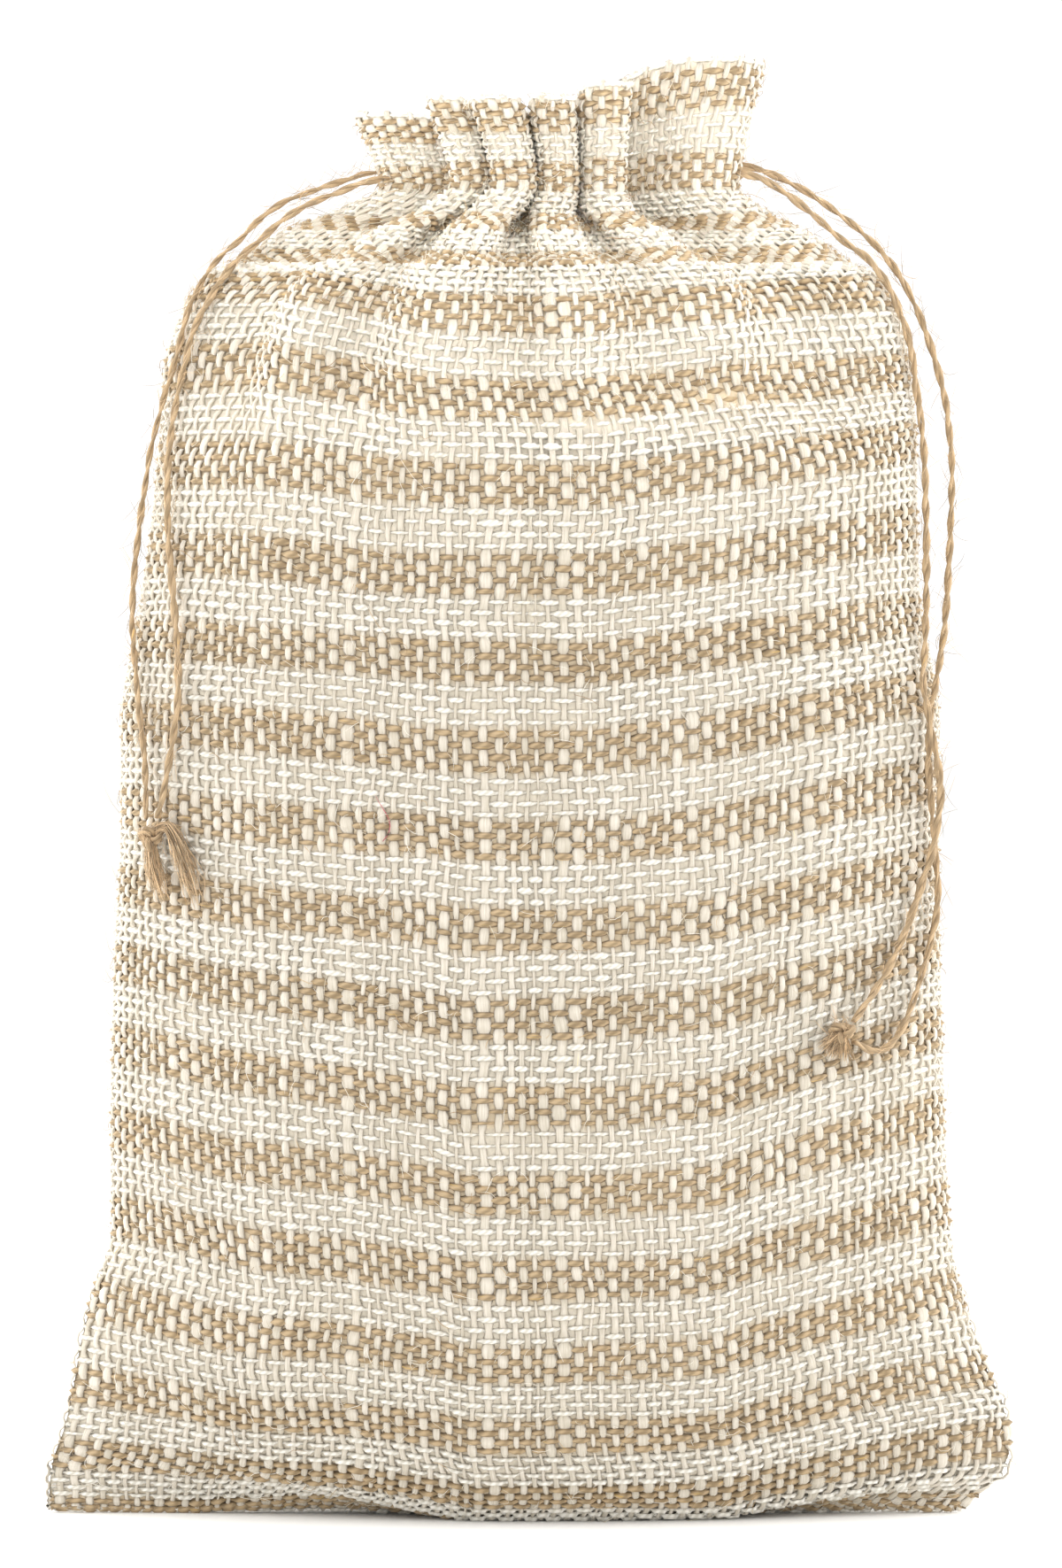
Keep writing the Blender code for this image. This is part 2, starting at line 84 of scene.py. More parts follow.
# Sections up the warp: distance from the bottom fold, reach to the left, right, front
# and back, and how round the outline is (1 a pointed lens, 2 an ellipse). All in mm.
SECTION_COLUMNS = ("warp", "left", "right", "front", "back", "roundness")
SECTIONS = (
    (0, 101.0, 91.0, 0.0, 0.0, 1.05),
    (8, 101.5, 97.0, 7.9, 7.9, 1.10),
    (16, 99.0, 102.5, 15.3, 15.3, 1.15),
    (26, 96.5, 102.0, 22.4, 22.4, 1.25),
    (36, 95.0, 98.0, 27.2, 27.2, 1.40),
    (48, 91.8, 94.0, 30.8, 30.8, 1.60),
    (62, 87.5, 90.0, 33.6, 33.6, 1.80),
    (80, 87.6, 88.5, 35.8, 35.8, 1.92),
    (120, 86.8, 87.2, 38.0, 38.0, 2.00),
    (150, 85.4, 86.6, 39.5, 39.5, 2.05),
    (178, 85.2, 86.8, 40.5, 40.5, 2.05),
    (192, 83.4, 85.0, 42.5, 42.5, 2.05),
    (206, 81.0, 82.6, 44.5, 44.5, 2.05),
    (226, 78.4, 82.0, 46.0, 46.0, 2.05),
    (242, 77.0, 81.8, 46.5, 46.5, 2.05),
    (255, 76.2, 80.6, 46.6, 46.6, 2.05),
    (266, 73.2, 78.6, 46.0, 46.0, 2.05),
    (276, 68.5, 74.8, 42.3, 42.3, 2.05),
    (286, 60.5, 67.5, 35.8, 35.8, 2.05),
    (295, 53.5, 60.5, 30.2, 30.2, 2.05),
    (302, 46.0, 54.5, 26.0, 26.0, 2.05),
    (308, 37.5, 48.5, 23.0, 23.0, 2.05),
    (314, 30.0, 44.0, 21.5, 21.5, 2.05),
    (321, 31.0, 45.0, 23.0, 22.5, 2.05),
    (338, 35.5, 49.5, 32.0, 29.0, 2.05),
)

# Pleats from the left end round by the front: cloth in each, how far up the warp it
# starts, its share of the gather, and how far its hem stands above the neck.
PLEAT_COLUMNS = ("name", "cloth", "start", "share", "hem_rise")
PLEATS = (
    ("left_end", 60, 234, 0.74, 15.0),
    ("front_1", 32, 240, 1.00, 17.0),
    ("front_2", 37, 236, 1.00, 16.5),
    ("front_3", 30, 242, 1.00, 17.0),
    ("front_4", 34, 248, 0.97, 20.0),
    ("right_end", 80, 234, 0.72, 26.5),
    ("back_1", 30, 240, 1.00, 21.0),
    ("back_2", 38, 238, 1.00, 17.5),
    ("back_3", 36, 246, 1.00, 17.0),
    ("back_4", 29, 240, 0.97, 16.0),
)

# Routes of the ties, from the neck to their knot: x, y and z in mm.
LEFT_OUTER_ROUTE = (
    (-34.3, -1.4, 282.8), (-36.9, -0.9, 281.9), (-40.5, -1.2, 280.8), (-46.0, -1.8, 278.9),
    (-51.5, -2.6, 276.6), (-56.0, -3.8, 273.2), (-60.3, -5.5, 268.8), (-65.3, -7.9, 264.0),
    (-68.9, -9.8, 258.2), (-71.3, -11.4, 252.5), (-72.6, -12.0, 246.5), (-74.4, -11.8, 240.6),
    (-76.6, -10.3, 233.3), (-78.6, -8.5, 226.0), (-80.2, -7.6, 217.0), (-81.6, -7.2, 207.0),
    (-82.6, -8.0, 197.0), (-82.7, -11.0, 187.5), (-81.8, -14.8, 178.5), (-80.8, -17.2, 168.5),
    (-79.8, -18.8, 161.0), (-79.5, -19.9, 155.0), (-79.4, -20.7, 147.3),
)
LEFT_INNER_ROUTE = (
    (-32.1, -7.4, 281.1), (-35.9, -6.3, 280.2), (-40.3, -5.7, 278.4), (-45.6, -7.1, 276.2),
    (-51.0, -8.9, 272.8), (-55.5, -9.7, 268.7), (-60.3, -11.9, 264.4), (-64.6, -13.4, 258.9),
    (-67.6, -14.1, 253.5), (-70.1, -14.8, 247.9), (-71.6, -14.8, 241.6), (-73.1, -14.7, 235.4),
    (-74.3, -15.2, 228.6), (-74.9, -17.9, 220.5), (-74.9, -19.5, 210.0), (-74.0, -22.0, 198.5),
    (-72.9, -24.3, 186.5), (-72.4, -24.9, 175.5), (-73.2, -24.4, 166.0), (-74.6, -23.6, 158.0),
    (-75.8, -23.2, 152.0), (-76.8, -22.7, 147.5),
)
RIGHT_OUTER_ROUTE = (
    (47.0, 1.2, 284.4), (50.6, 1.8, 283.4), (54.6, 2.2, 281.6), (59.2, 2.2, 279.2),
    (63.6, 1.8, 276.2), (68.2, 1.4, 272.8), (72.6, 1.0, 268.9), (76.8, 0.6, 264.2),
    (80.4, 0.0, 258.4), (83.4, -0.8, 251.6), (85.9, -1.4, 244.4), (87.9, -1.8, 236.6),
    (89.2, -2.0, 228.4), (89.7, -2.2, 219.0), (89.4, -2.2, 208.0), (88.9, -2.6, 198.0),
    (88.3, -3.8, 189.5), (87.2, -6.6, 182.4), (85.9, -10.8, 176.0), (84.6, -14.2, 169.6),
    (84.1, -15.0, 162.6), (84.2, -14.6, 155.6), (84.8, -13.2, 149.0), (85.5, -12.2, 142.4),
    (86.1, -11.4, 135.4), (86.1, -11.6, 128.6), (84.9, -13.2, 122.4), (83.2, -15.4, 116.4),
    (81.0, -17.8, 109.8), (78.6, -20.0, 104.2), (75.6, -22.2, 100.2), (72.0, -24.4, 99.0),
    (67.9, -27.4, 101.3),
)
RIGHT_INNER_ROUTE = (
    (46.6, -3.8, 282.5), (49.9, -2.7, 281.5), (53.9, -2.0, 279.1), (58.0, -2.2, 276.1),
    (62.1, -3.1, 272.6), (66.5, -4.4, 268.6), (71.4, -6.6, 264.8), (75.6, -8.1, 259.4),
    (78.6, -8.1, 252.7), (80.7, -7.6, 245.7), (81.8, -7.2, 238.2), (82.9, -7.3, 230.0),
    (83.6, -7.6, 220.5), (83.9, -7.9, 211.0), (83.9, -8.8, 201.0), (83.8, -10.4, 191.0),
    (83.4, -13.4, 183.0), (82.9, -15.8, 176.4), (83.6, -17.6, 170.4), (84.9, -17.8, 163.8),
    (86.0, -16.6, 158.0), (86.6, -15.2, 152.6), (86.2, -15.8, 148.0), (85.2, -16.4, 142.6),
    (83.6, -16.4, 136.6), (81.6, -17.6, 130.6), (79.4, -19.4, 124.6), (76.9, -21.4, 119.2),
    (74.0, -23.4, 114.0), (71.0, -25.4, 109.6), (67.8, -27.6, 105.4),
)

# Knots: middle and half sizes, in mm.
LEFT_KNOT = {"middle": (-78.3, -21.7, 143.4), "half_size": (2.9, 2.6, 3.2)}
RIGHT_KNOT = {"middle": (65.4, -29.4, 103.2), "half_size": (2.9, 2.6, 2.8)}

# Frayed ends that hang from the knots: x, y, z and radius in mm.
LEFT_LONG_TAIL = (
    (-77.0, -22.2, 145.0, 1.0), (-74.7, -24.2, 146.0, 1.1), (-72.9, -25.2, 143.4, 1.2),
    (-71.4, -25.9, 139.6, 1.4), (-70.0, -26.5, 135.6, 1.5), (-68.6, -27.0, 130.6, 1.0),
)
LEFT_SHORT_TAIL = (
    (-78.2, -21.9, 143.0, 1.2), (-78.0, -22.0, 138.6, 1.4), (-77.0, -22.3, 134.8, 1.6),
    (-75.6, -23.0, 130.8, 1.0),
)
RIGHT_LONG_TAIL = (
    (65.3, -29.7, 103.0, 1.0), (65.0, -30.2, 99.2, 1.5), (64.6, -29.9, 95.8, 1.7),
)
RIGHT_SHORT_TAIL = (
    (65.2, -29.8, 103.0, 1.0), (62.6, -30.7, 100.6, 1.3), (60.2, -31.0, 98.2, 1.5),
)


def eased(share):
    """Ease from 0 to 1."""
    share = np.clip(share, 0, 1)
    return share * share * (3 - 2 * share)


def section_value(name, warp):
    """Smooth curve through one column of the sections, with no overshoot between them."""
    places = np.array([row[0] for row in SECTIONS], float)
    values = np.array([row[SECTION_COLUMNS.index(name)] for row in SECTIONS], float)
    steps = np.diff(places)
    rises = np.diff(values) / steps
    slopes = np.zeros(len(values))
    for i in range(1, len(values) - 1):
        if rises[i - 1] * rises[i] > 0:
            before = 2 * steps[i] + steps[i - 1]
            after = steps[i] + 2 * steps[i - 1]
            slopes[i] = (before + after) / (before / rises[i - 1] + after / rises[i])
    slopes[0] = rises[0]
    slopes[-1] = rises[-1]
    i = int(np.clip(np.searchsorted(places, warp) - 1, 0, len(steps) - 1))
    t = (warp - places[i]) / steps[i]
    return float((1 + 2 * t) * (1 - t) ** 2 * values[i]
                 + t * (1 - t) ** 2 * steps[i] * slopes[i]
                 + t * t * (3 - 2 * t) * values[i + 1]
                 + t * t * (t - 1) * steps[i] * slopes[i + 1])


def pleat_values(name):
    """One column of the pleats."""
    return np.array([row[PLEAT_COLUMNS.index(name)] for row in PLEATS])


def fold_profile(place):
    """How far a thread is turned from its line, across a pleat: round over the ridge, in
    the middle, and quick in the valleys, at -0.5 and 0.5."""
    return sum(share * np.sin(2 * np.pi * turn * place) for turn, share in FOLD_SHAPE)


def mean_advance(swing):
    """How far a thread gets along its line when it swings to and fro by this angle."""
    places = (np.arange(FOLD_PLACES) + 0.5) / FOLD_PLACES - 0.5
    return np.cos(np.multiply.outer(swing, fold_profile(places))).mean(-1)


def pleat_places():
    """Which pleat each point of a ring is in, and where in it, from -0.5 to 0.5."""
    cloth = pleat_values("cloth")
    cloth = cloth * GIRTH / cloth.sum()
    starts = np.concatenate([[0], np.cumsum(cloth)]) - cloth[0] / 2
    threads = np.arange(AROUND) * GIRTH / AROUND
    pleat = np.searchsorted(starts, threads, side="right") - 1
    wrapped = pleat == len(PLEATS)
    threads = np.where(wrapped, threads - GIRTH, threads)
    pleat = np.where(wrapped, 0, pleat)
    return pleat, (threads - starts[pleat]) / cloth[pleat] - 0.5


PLEAT_OF, PLACE_IN_PLEAT = pleat_places()


def oval(left, right, front, back, roundness):
    """Outline of the stuffed sack without its pleats, from the left end by the front."""
    angle = np.arange(OVAL_POINTS) / OVAL_POINTS * 2 * np.pi
    across = -np.cos(angle)
    out = -np.sin(angle)
    x = np.where(across < 0, left, right) * across
    y = np.sign(out) * np.where(out < 0, front, back) * np.abs(out) ** (2 / roundness)
    return x, y


def pleated_ring(warp, reach, roundness):
    """Closed ring of the cloth's girth on the oval of the given reach."""
    x, y = oval(*reach, roundness)
    step_x = np.roll(x, -1) - x
    step_y = np.roll(y, -1) - y
    steps = np.hypot(step_x, step_y)
    length = steps.sum()
    angle = np.unwrap(np.arctan2(step_y, step_x))
    middle = (np.cumsum(steps) - steps / 2) / length
    middle = np.concatenate([middle - 1, middle, middle + 1])
    angle = np.concatenate([angle - 2 * np.pi, angle, angle + 2 * np.pi])

    starts = pleat_values("start")
    weights = np.sqrt(eased((warp - starts) / (NECK - starts))) * pleat_values("share")
    cloth = np.bincount(PLEAT_OF, minlength=len(PLEATS)) / AROUND
    swing = np.zeros(len(PLEATS))
    if length < GIRTH and weights.max() > 0:
        low, high = 0.0, MOST_SWING
        for _ in range(HALVINGS):
            gain = (low + high) / 2
            swing = gain * weights
            if (mean_advance(swing) * cloth).sum() > length / GIRTH:
                low = gain
            else:
                high = gain
    advance = mean_advance(swing)[PLEAT_OF]
    along = (np.cumsum(advance) - advance / 2) / advance.sum()
    heading = np.interp(along, middle, angle)
    heading = heading + swing[PLEAT_OF] * fold_profile(PLACE_IN_PLEAT)
    x = np.concatenate([[0], np.cumsum(np.cos(heading))]) * GIRTH / AROUND
    y = np.concatenate([[0], np.cumsum(np.sin(heading))]) * GIRTH / AROUND
    closing = np.linspace(0, 1, AROUND + 1)
    return (x - x[-1] * closing)[:-1], (y - y[-1] * closing)[:-1]


def ring(warp):
    """Ring at this place up the warp, fitted to the reach that the sections give."""
    wanted = np.array([section_value(name, warp) for name in ("left", "right", "front", "back")])
    wanted = np.maximum(wanted, LEAST_REACH)
    roundness = section_value("roundness", warp)
    reach = wanted.copy()
    for _ in range(FITS):
        x, y = pleated_ring(warp, reach, roundness)
        wide = (wanted[0] + wanted[1]) / (x.max() - x.min())
        deep = (wanted[2] + wanted[3]) / max(y.max() - y.min(), 2 * LEAST_REACH)
        reach = reach * np.clip((wide, wide, deep, deep), *FIT_LIMITS)
    x = (x - x.min()) * wide - wanted[0]
    y = (y - y.min()) * deep - wanted[2]
    return x, y


def blurred(values, blur, axis=0, power=1):
    """Values spread over their neighbours along an axis that closes on itself; power 2
    keeps the size of noise."""
    reach = int(3 * blur)
    shifts = np.arange(-reach, reach + 1)
    weights = np.exp(-0.5 * (shifts / blur) ** 2)
    weights /= (weights ** power).sum() ** (1 / power)
    return sum(weight * np.roll(values, shift, axis) for shift, weight in zip(shifts, weights))


def cloth_surface():
    """Middle of the cloth, by row and point: places up the warp, and x, y and z in mm."""
    warps = np.arange(0, CLOTH_TOP + 0.5 * ROW_STEP, ROW_STEP)
    warps[-1] = CLOTH_TOP
    rings = [ring(warp) for warp in warps]
    x = np.array([points[0] for points in rings])
    y = np.array([points[1] for points in rings])
    z = np.zeros_like(x)
    for row in range(1, len(warps)):
        sideways = np.hypot(x[row] - x[row - 1], y[row] - y[row - 1])
        step = warps[row] - warps[row - 1]
        z[row] = z[row - 1] + np.sqrt(np.maximum(step ** 2 - sideways ** 2, 0))
    levelled = eased((warps - LEVELS_FROM) / (LEVEL_AT - LEVELS_FROM))[:, None]
    z += levelled * (z.mean(1, keepdims=True) - z)
    hem_rise = blurred(pleat_values("hem_rise")[PLEAT_OF], HEM_BLUR)
    hem_rise -= HEM_DIP * np.abs(2 * PLACE_IN_PLEAT) ** 3
    above = np.clip((warps - NECK) / (CLOTH_TOP - NECK), 0, 1)[:, None]
    neck = np.array([np.interp(NECK, warps, z[:, column]) for column in range(AROUND)])
    z = np.where(above > 0, neck + above * hem_rise, z)
    return warps, x, y, np.maximum(z - FLAT_LIFT, 0)


# ---------------------------------------------------------------- cloth as its threads see it

HEM_GAP = 0.55           # each layer of the hem lies this far from the middle of the two
HEM_FOLD_STEPS = 6       # rows round the fold at the top of the hem
HEM_INSIDE = 14.0        # the hem's inner layer shows this far down from its top edge
HEM_PARTING = 6.0        # the layers part over this much warp, below the hem's start


def unit(vectors):
    """The vectors at length 1."""
    return vectors / np.maximum(np.linalg.norm(vectors, axis=-1, keepdims=True), 1e-9)


def outward(points):
    """Unit normals of a grid of points, row by row up the cloth and round it."""
    around = np.roll(points, -1, 1) - np.roll(points, 1, 1)
    normals = np.cross(around, np.gradient(points, axis=0))
    normals[0] = (0, 0, -1)       # the bottom fold faces down
    return unit(normals)


def rows_at(places, grid, wanted):
    """Rows of a grid at other places along the warp."""
    index = np.interp(wanted, places, np.arange(len(places)))
    low = np.minimum(index.astype(int), len(places) - 2)
    share = (index - low)[:, None, None]
    return grid[low] * (1 - share) + grid[low + 1] * share


def curve_weights(share):
    """Weights of the four points about a place on a smooth curve through all of them."""
    square, cube = share ** 2, share ** 3
    return (0.5 * (-share + 2 * square - cube), 0.5 * (2 - 5 * square + 3 * cube),
            0.5 * (share + 4 * square - 3 * cube), 0.5 * (cube - square))


class Cloth:
    """Surface of the cloth, by the distance along the warp and round the sack, in mm.

    It runs up the outside, over the fold of the hem and down inside it.
    """

    def __init__(self):
        warps, x, y, z = cloth_surface()
        middle = np.stack([x, y, z + CLOTH_THICKNESS / 2], -1)
        top = CLOTH_TOP - HEM_GAP
        places = np.append(warps[warps < top - 0.5], top)
        layer = rows_at(warps, middle, places)
        out = unit(rows_at(warps, outward(middle), places))
        apart = HEM_GAP * eased((places - HEM_START + HEM_PARTING) / HEM_PARTING)
        up = unit(layer[-1] - layer[-2])
        turns = np.linspace(0, np.pi, HEM_FOLD_STEPS + 1)[1:]
        fold = np.array([math.cos(turn) * out[-1] + math.sin(turn) * up for turn in turns])
        downs = np.arange(ROW_STEP, HEM_INSIDE + ROW_STEP / 2, ROW_STEP)
        inside = rows_at(places, layer, top - downs)
        behind = -unit(rows_at(places, out, top - downs))
        self.places = np.concatenate([places, top + HEM_GAP * turns,
                                      top + HEM_GAP * np.pi + downs])
        self.facing = np.concatenate([out, fold, behind])
        self.points = np.concatenate([layer + out * apart[:, None, None],
                                      layer[-1] + HEM_GAP * fold, inside + HEM_GAP * behind])

    def sample(self, grid, along, around):
        """Smooth curves through a grid, read at each place along the warp and round."""
        row = np.interp(along, self.places, np.arange(len(self.places)))
        column = around * AROUND / GIRTH
        low_row = np.minimum(row.astype(int), len(self.places) - 2)
        low_column = np.floor(column).astype(int)
        total = 0
        for step, weight in zip((-1, 0, 1, 2), curve_weights(row - low_row)):
            picked = np.clip(low_row + step, 0, len(self.places) - 1)
            for side, share in zip((-1, 0, 1, 2), curve_weights(column - low_column)):
                beside = (low_column + side) % AROUND
                total = total + (weight * share)[..., None] * grid[picked, beside]
        return total

    def at(self, along, around, height):
        """Points at a height over the middle of the cloth, and which way it faces there."""
        along, around, height = np.broadcast_arrays(along, around, height)
        facing = unit(self.sample(self.facing, along, around))
        return self.sample(self.points, along, around) + facing * height[..., None], facing


@functools.cache
def sack_cloth():
    """The cloth, worked out once."""
    return Cloth()


# ---------------------------------------------------------------- weave

STRIPE_ROWS = 4          # rows in a stripe, tan and white by turns
# Middles of the tan stripes up the warp: at the middle of the front, and at the sack's
# left and right ends, where the cloth was cut a little askew.
TAN_STRIPES = (
    (-10.0, -0.2, -4.2), (11.5, 1.2, 3.5), (23.3, 13.7, 22.9), (39.7, 28.8, 37.6),
    (55.9, 47.5, 55.6), (73.6, 65.8, 74.2), (91.5, 84.6, 92.7), (109.1, 102.8, 111.7),
    (126.3, 121.1, 129.1), (143.7, 139.6, 147.5), (160.9, 158.0, 167.0),
    (178.0, 178.6, 186.9), (195.1, 197.2, 203.6), (212.5, 216.7, 222.2),
    (230.7, 235.8, 241.4), (249.1, 257.5, 255.6), (267.1, 276.0, 274.9),
    (283.7, 287.4, 289.0), (300.3, 302.0, 302.6), (316.9, 317.2, 317.4),
    (333.6, 333.6, 333.6), (351.0, 351.0, 351.0), (369.0, 369.0, 369.0),
)
# Round the cloth, from the left end, the rows of the two ends come in over these.
LEFT_ASKEW = (88.0, 30.0)
RIGHT_ASKEW = (115.0, 192.0)
FIRST_ROW = 0.8          # the first row lies further than this from the bottom fold
LAST_ROW_GAP = 0.5       # and the last stops short of the cloth's edge by this
ROW_WAVE = 0.22          # how far a row strays from its line
WARP_WAVE = 0.26         # and a warp
WAVE_BLUR = (2.4, 1.1)   # crossings over which a row strays, and a warp
WARP_SPREAD = 0.2        # how much the widths of the warps differ
WIDTH_LIMITS = (0.55, 1.5)
SLUB = 0.16              # how much a thread's width changes along it,
SLUB_BLUR = 1.0          # over this many crossings
# Where a thread lies level over or under another: as far as this to either side of the
# crossing, as a share of the way to the next, and this much above the cloth's middle.
LEVEL_SHARE = {"warp": 0.27, "white": 0.4, "tan": 0.22}
CRIMP = {"warp": 0.3, "white": 0.3, "tan": 0.28}
# Size of a thread where it lies under another, as a share of its size over it.
SIZE_UNDER = {"warp": 0.85, "white": 0.9, "tan": 0.55}
WARP_AT_WHITE = 0.58     # the hard white weft draws the warp in, where it lies over it
WARP_HALF_THICKNESS = 0.31
SEED = 20


def smooth_noise(random, shape, blur):
    """Seeded noise that changes slowly along both axes of a grid, about 1 in size."""
    return blurred(blurred(random.normal(size=shape), blur, 0, 2), blur, 1, 2)


class Weave:
    """Where each row of weft crosses each warp, and how wide the warps are, in mm."""

    def __init__(self, warps, warp_width):
        random = np.random.default_rng(SEED)
        end = sack_cloth().places[-1]
        stripes = np.array(TAN_STRIPES)
        places = np.arange(2 * STRIPE_ROWS * (len(stripes) - 1)) / (2 * STRIPE_ROWS)
        rows = np.stack([np.interp(places, np.arange(len(stripes)), column)
                         for column in stripes.T])
        kept = (rows[0] > FIRST_ROW) & (rows[0] < end - LAST_ROW_GAP)
        rows = rows[:, kept]
        self.number = np.arange(len(places))[kept] + STRIPE_ROWS // 2
        self.tan = self.number % (2 * STRIPE_ROWS) < STRIPE_ROWS
        widths = warp_width * np.clip(np.exp(random.normal(0, WARP_SPREAD, warps)), *WIDTH_LIMITS)
        steps = 0.5 * (widths + np.roll(widths, -1))
        gap = (GIRTH - steps.sum()) / warps
        starts = np.concatenate([[0], np.cumsum(steps + gap)[:-1]])
        shape = (rows.shape[1], warps)
        apart = np.minimum(starts, GIRTH - starts)
        left = eased((LEFT_ASKEW[0] - apart) / (LEFT_ASKEW[0] - LEFT_ASKEW[1]))
        right = np.clip((apart - RIGHT_ASKEW[0]) / (RIGHT_ASKEW[1] - RIGHT_ASKEW[0]), 0, 1)
        self.along = (rows[0][:, None] + (rows[1] - rows[0])[:, None] * left
                      + (rows[2] - rows[0])[:, None] * right
                      + ROW_WAVE * smooth_noise(random, shape, WAVE_BLUR[0]))
        self.around = starts[None] + WARP_WAVE * smooth_noise(random, shape, WAVE_BLUR[1])
        self.widths = widths[None] * (1 + SLUB * smooth_noise(random, shape, SLUB_BLUR))
        self.weft_sizes = 1 + SLUB * smooth_noise(random, shape, SLUB_BLUR)
        over = (np.arange(rows.shape[1])[:, None] + np.arange(warps)[None]) % 2
        self.over = 2.0 * over - 1        # 1 where the warp lies over the weft


@functools.cache
def weave():
    """The weave of the sack, worked out once from its settings."""
    cloth = bpy.context.scene.sack_cloth_settings
    return Weave(cloth.warps, cloth.warp_width / MM)


def level_places(values, share, closed_by=None):
    """Two places about each one along the last axis, this share of the way to its
    neighbours; a closed row runs on to its own start, closed_by further on."""
    if closed_by is None:
        steps = np.diff(values, axis=-1)
        before = np.concatenate([steps[..., :1], steps], -1)
        after = np.concatenate([steps, steps[..., -1:]], -1)
    else:
        after = np.roll(values, -1, -1) - values
        after[..., -1] += closed_by
        before = np.roll(after, 1, -1)
    places = np.stack([values - share * before, values + share * after], -1)
    return places.reshape(*values.shape[:-1], -1)


# Outlines of yarns, as shares of their half width and half thickness.
FLAT_YARN = ((-1.0, -0.35), (-0.5, 0.85), (0.5, 0.85), (1.0, -0.35))
ROUND_YARN = ((-1.0, -0.35), (0.0, 0.9), (1.0, -0.35))


def yarn_profile(outline, half_widths, half_thickness):
    """Outline of a yarn at each of its points."""
    return (np.stack([half_widths, np.broadcast_to(half_thickness, half_widths.shape)], -1)
            [..., None, :] * np.array(outline))


def warp_threads(first, last):
    """Centres, facings, outlines and lengths along, of a run of the warps."""
    cloth, threads = sack_cloth(), weave()
    share = LEVEL_SHARE["warp"]
    over = threads.over[:, first:last].T
    along = level_places(threads.along[:, first:last].T, share)
    along = np.clip(along, 0, cloth.places[-1])
    around = level_places(threads.around[:, first:last].T, share)
    drawn = np.where(over < 0, SIZE_UNDER["warp"], np.where(threads.tan, 1.0, WARP_AT_WHITE))
    half = np.repeat(0.5 * drawn * threads.widths[:, first:last].T, 2, -1)
    centres, facing = cloth.at(along, around, CRIMP["warp"] * np.repeat(over, 2, -1))
    return centres, facing, yarn_profile(FLAT_YARN, half, WARP_HALF_THICKNESS), along


def weft_threads(rows, kind, thickness):
    """Centres, facings, outlines and lengths along, of some of the rows of weft."""
    cloth, threads = sack_cloth(), weave()
    share = LEVEL_SHARE[kind]
    over = -threads.over[rows]
    along = level_places(threads.along[rows], share, 0)
    around = level_places(threads.around[rows], share, GIRTH)
    sizes = np.where(over > 0, 1.0, SIZE_UNDER[kind]) * threads.weft_sizes[rows]
    half = np.repeat(0.5 * thickness * sizes, 2, -1)
    centres, facing = cloth.at(along, around, CRIMP[kind] * np.repeat(over, 2, -1))
    return centres, facing, yarn_profile(ROUND_YARN, half, half), around


# ---------------------------------------------------------------- meshes

FLOOR_CLEARANCE = 0.02   # nothing of the sack reaches lower than this


def sack_piece(name, mesh, material):
    """Smooth piece that stands on the sack's one body and takes its finish from the slot.

    mesh is its vertices, its faces and, for the materials, each vertex's thread values:
    its place along and across its yarn in mm, and the yarn's number.
    """
    vertices, faces, values = mesh
    vertices = np.array(vertices, float).reshape(-1, 3)
    vertices[:, 2] = np.maximum(vertices[:, 2], FLOOR_CLEARANCE)
    data = bpy.data.meshes.new(name)
    data.vertices.add(len(vertices))
    data.vertices.foreach_set("co", (vertices * MM).astype(np.float32).ravel())
    sizes = np.concatenate([np.full(len(part), part.shape[1]) for part in faces])
    corners = np.concatenate([part.ravel() for part in faces])
    data.loops.add(len(corners))
    data.loops.foreach_set("vertex_index", corners.astype(np.int32))
    data.polygons.add(len(sizes))
    data.polygons.foreach_set("loop_start", (np.cumsum(sizes) - sizes).astype(np.int32))
    data.polygons.foreach_set("loop_total", sizes.astype(np.int32))
    data.update(calc_edges=True)
    data.validate()
    data.shade_smooth()
    layer = data.attributes.new("thread", "FLOAT_VECTOR", "POINT")
    layer.data.foreach_set("vector", np.asarray(values, np.float32).ravel())
    data.materials.append(material)
    piece = bpy.data.objects.new(name, data)
    bpy.context.scene.collection.objects.link(piece)
    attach(piece, "root")
    return piece


def tubes(centres, facing, profile, closed=False):
    """Vertices and faces of tubes along rows of centres.

    centres and facing are (tubes, points, 3); profile is (tubes, points, sides, 2), the
    reach to the side and outward; closed joins each tube's end to its own start.
    """
    if closed:
        ahead = unit(np.roll(centres, -1, 1) - np.roll(centres, 1, 1))
    else:
        ahead = unit(np.gradient(centres, axis=1))
    aside = unit(np.cross(ahead, facing))
    out = np.cross(aside, ahead)
    vertices = (centres[:, :, None] + aside[:, :, None] * profile[..., :1]
                + out[:, :, None] * profile[..., 1:])
    index = np.arange(vertices[..., 0].size).reshape(vertices.shape[:3])
    low, high = (index, np.roll(index, -1, 1)) if closed else (index[:, :-1], index[:, 1:])
    sides = np.stack([low, high, np.roll(high, -1, 2), np.roll(low, -1, 2)], -1)
    faces = [sides.reshape(-1, 4)]
    if not closed:
        faces += [index[:, 0], index[:, -1, ::-1]]
    return vertices, faces


def thread_values(along, profile, numbers):
    """Each vertex's place along and across its yarn, and the yarn's number."""
    shape = profile.shape[:3]
    return np.stack([np.broadcast_to(along[..., None], shape), profile[..., 0],
                     np.broadcast_to(np.asarray(numbers)[:, None, None], shape)], -1)


def woven_yarns(name, threads, numbers, material, closed=False):
    """Piece of yarns that are woven into the cloth."""
    centres, facing, profile, along = threads
    vertices, faces = tubes(centres, facing, profile, closed)
    values = thread_values(along, profile, numbers)
    return sack_piece(name, (vertices, faces, values), material)


# ---------------------------------------------------------------- materials

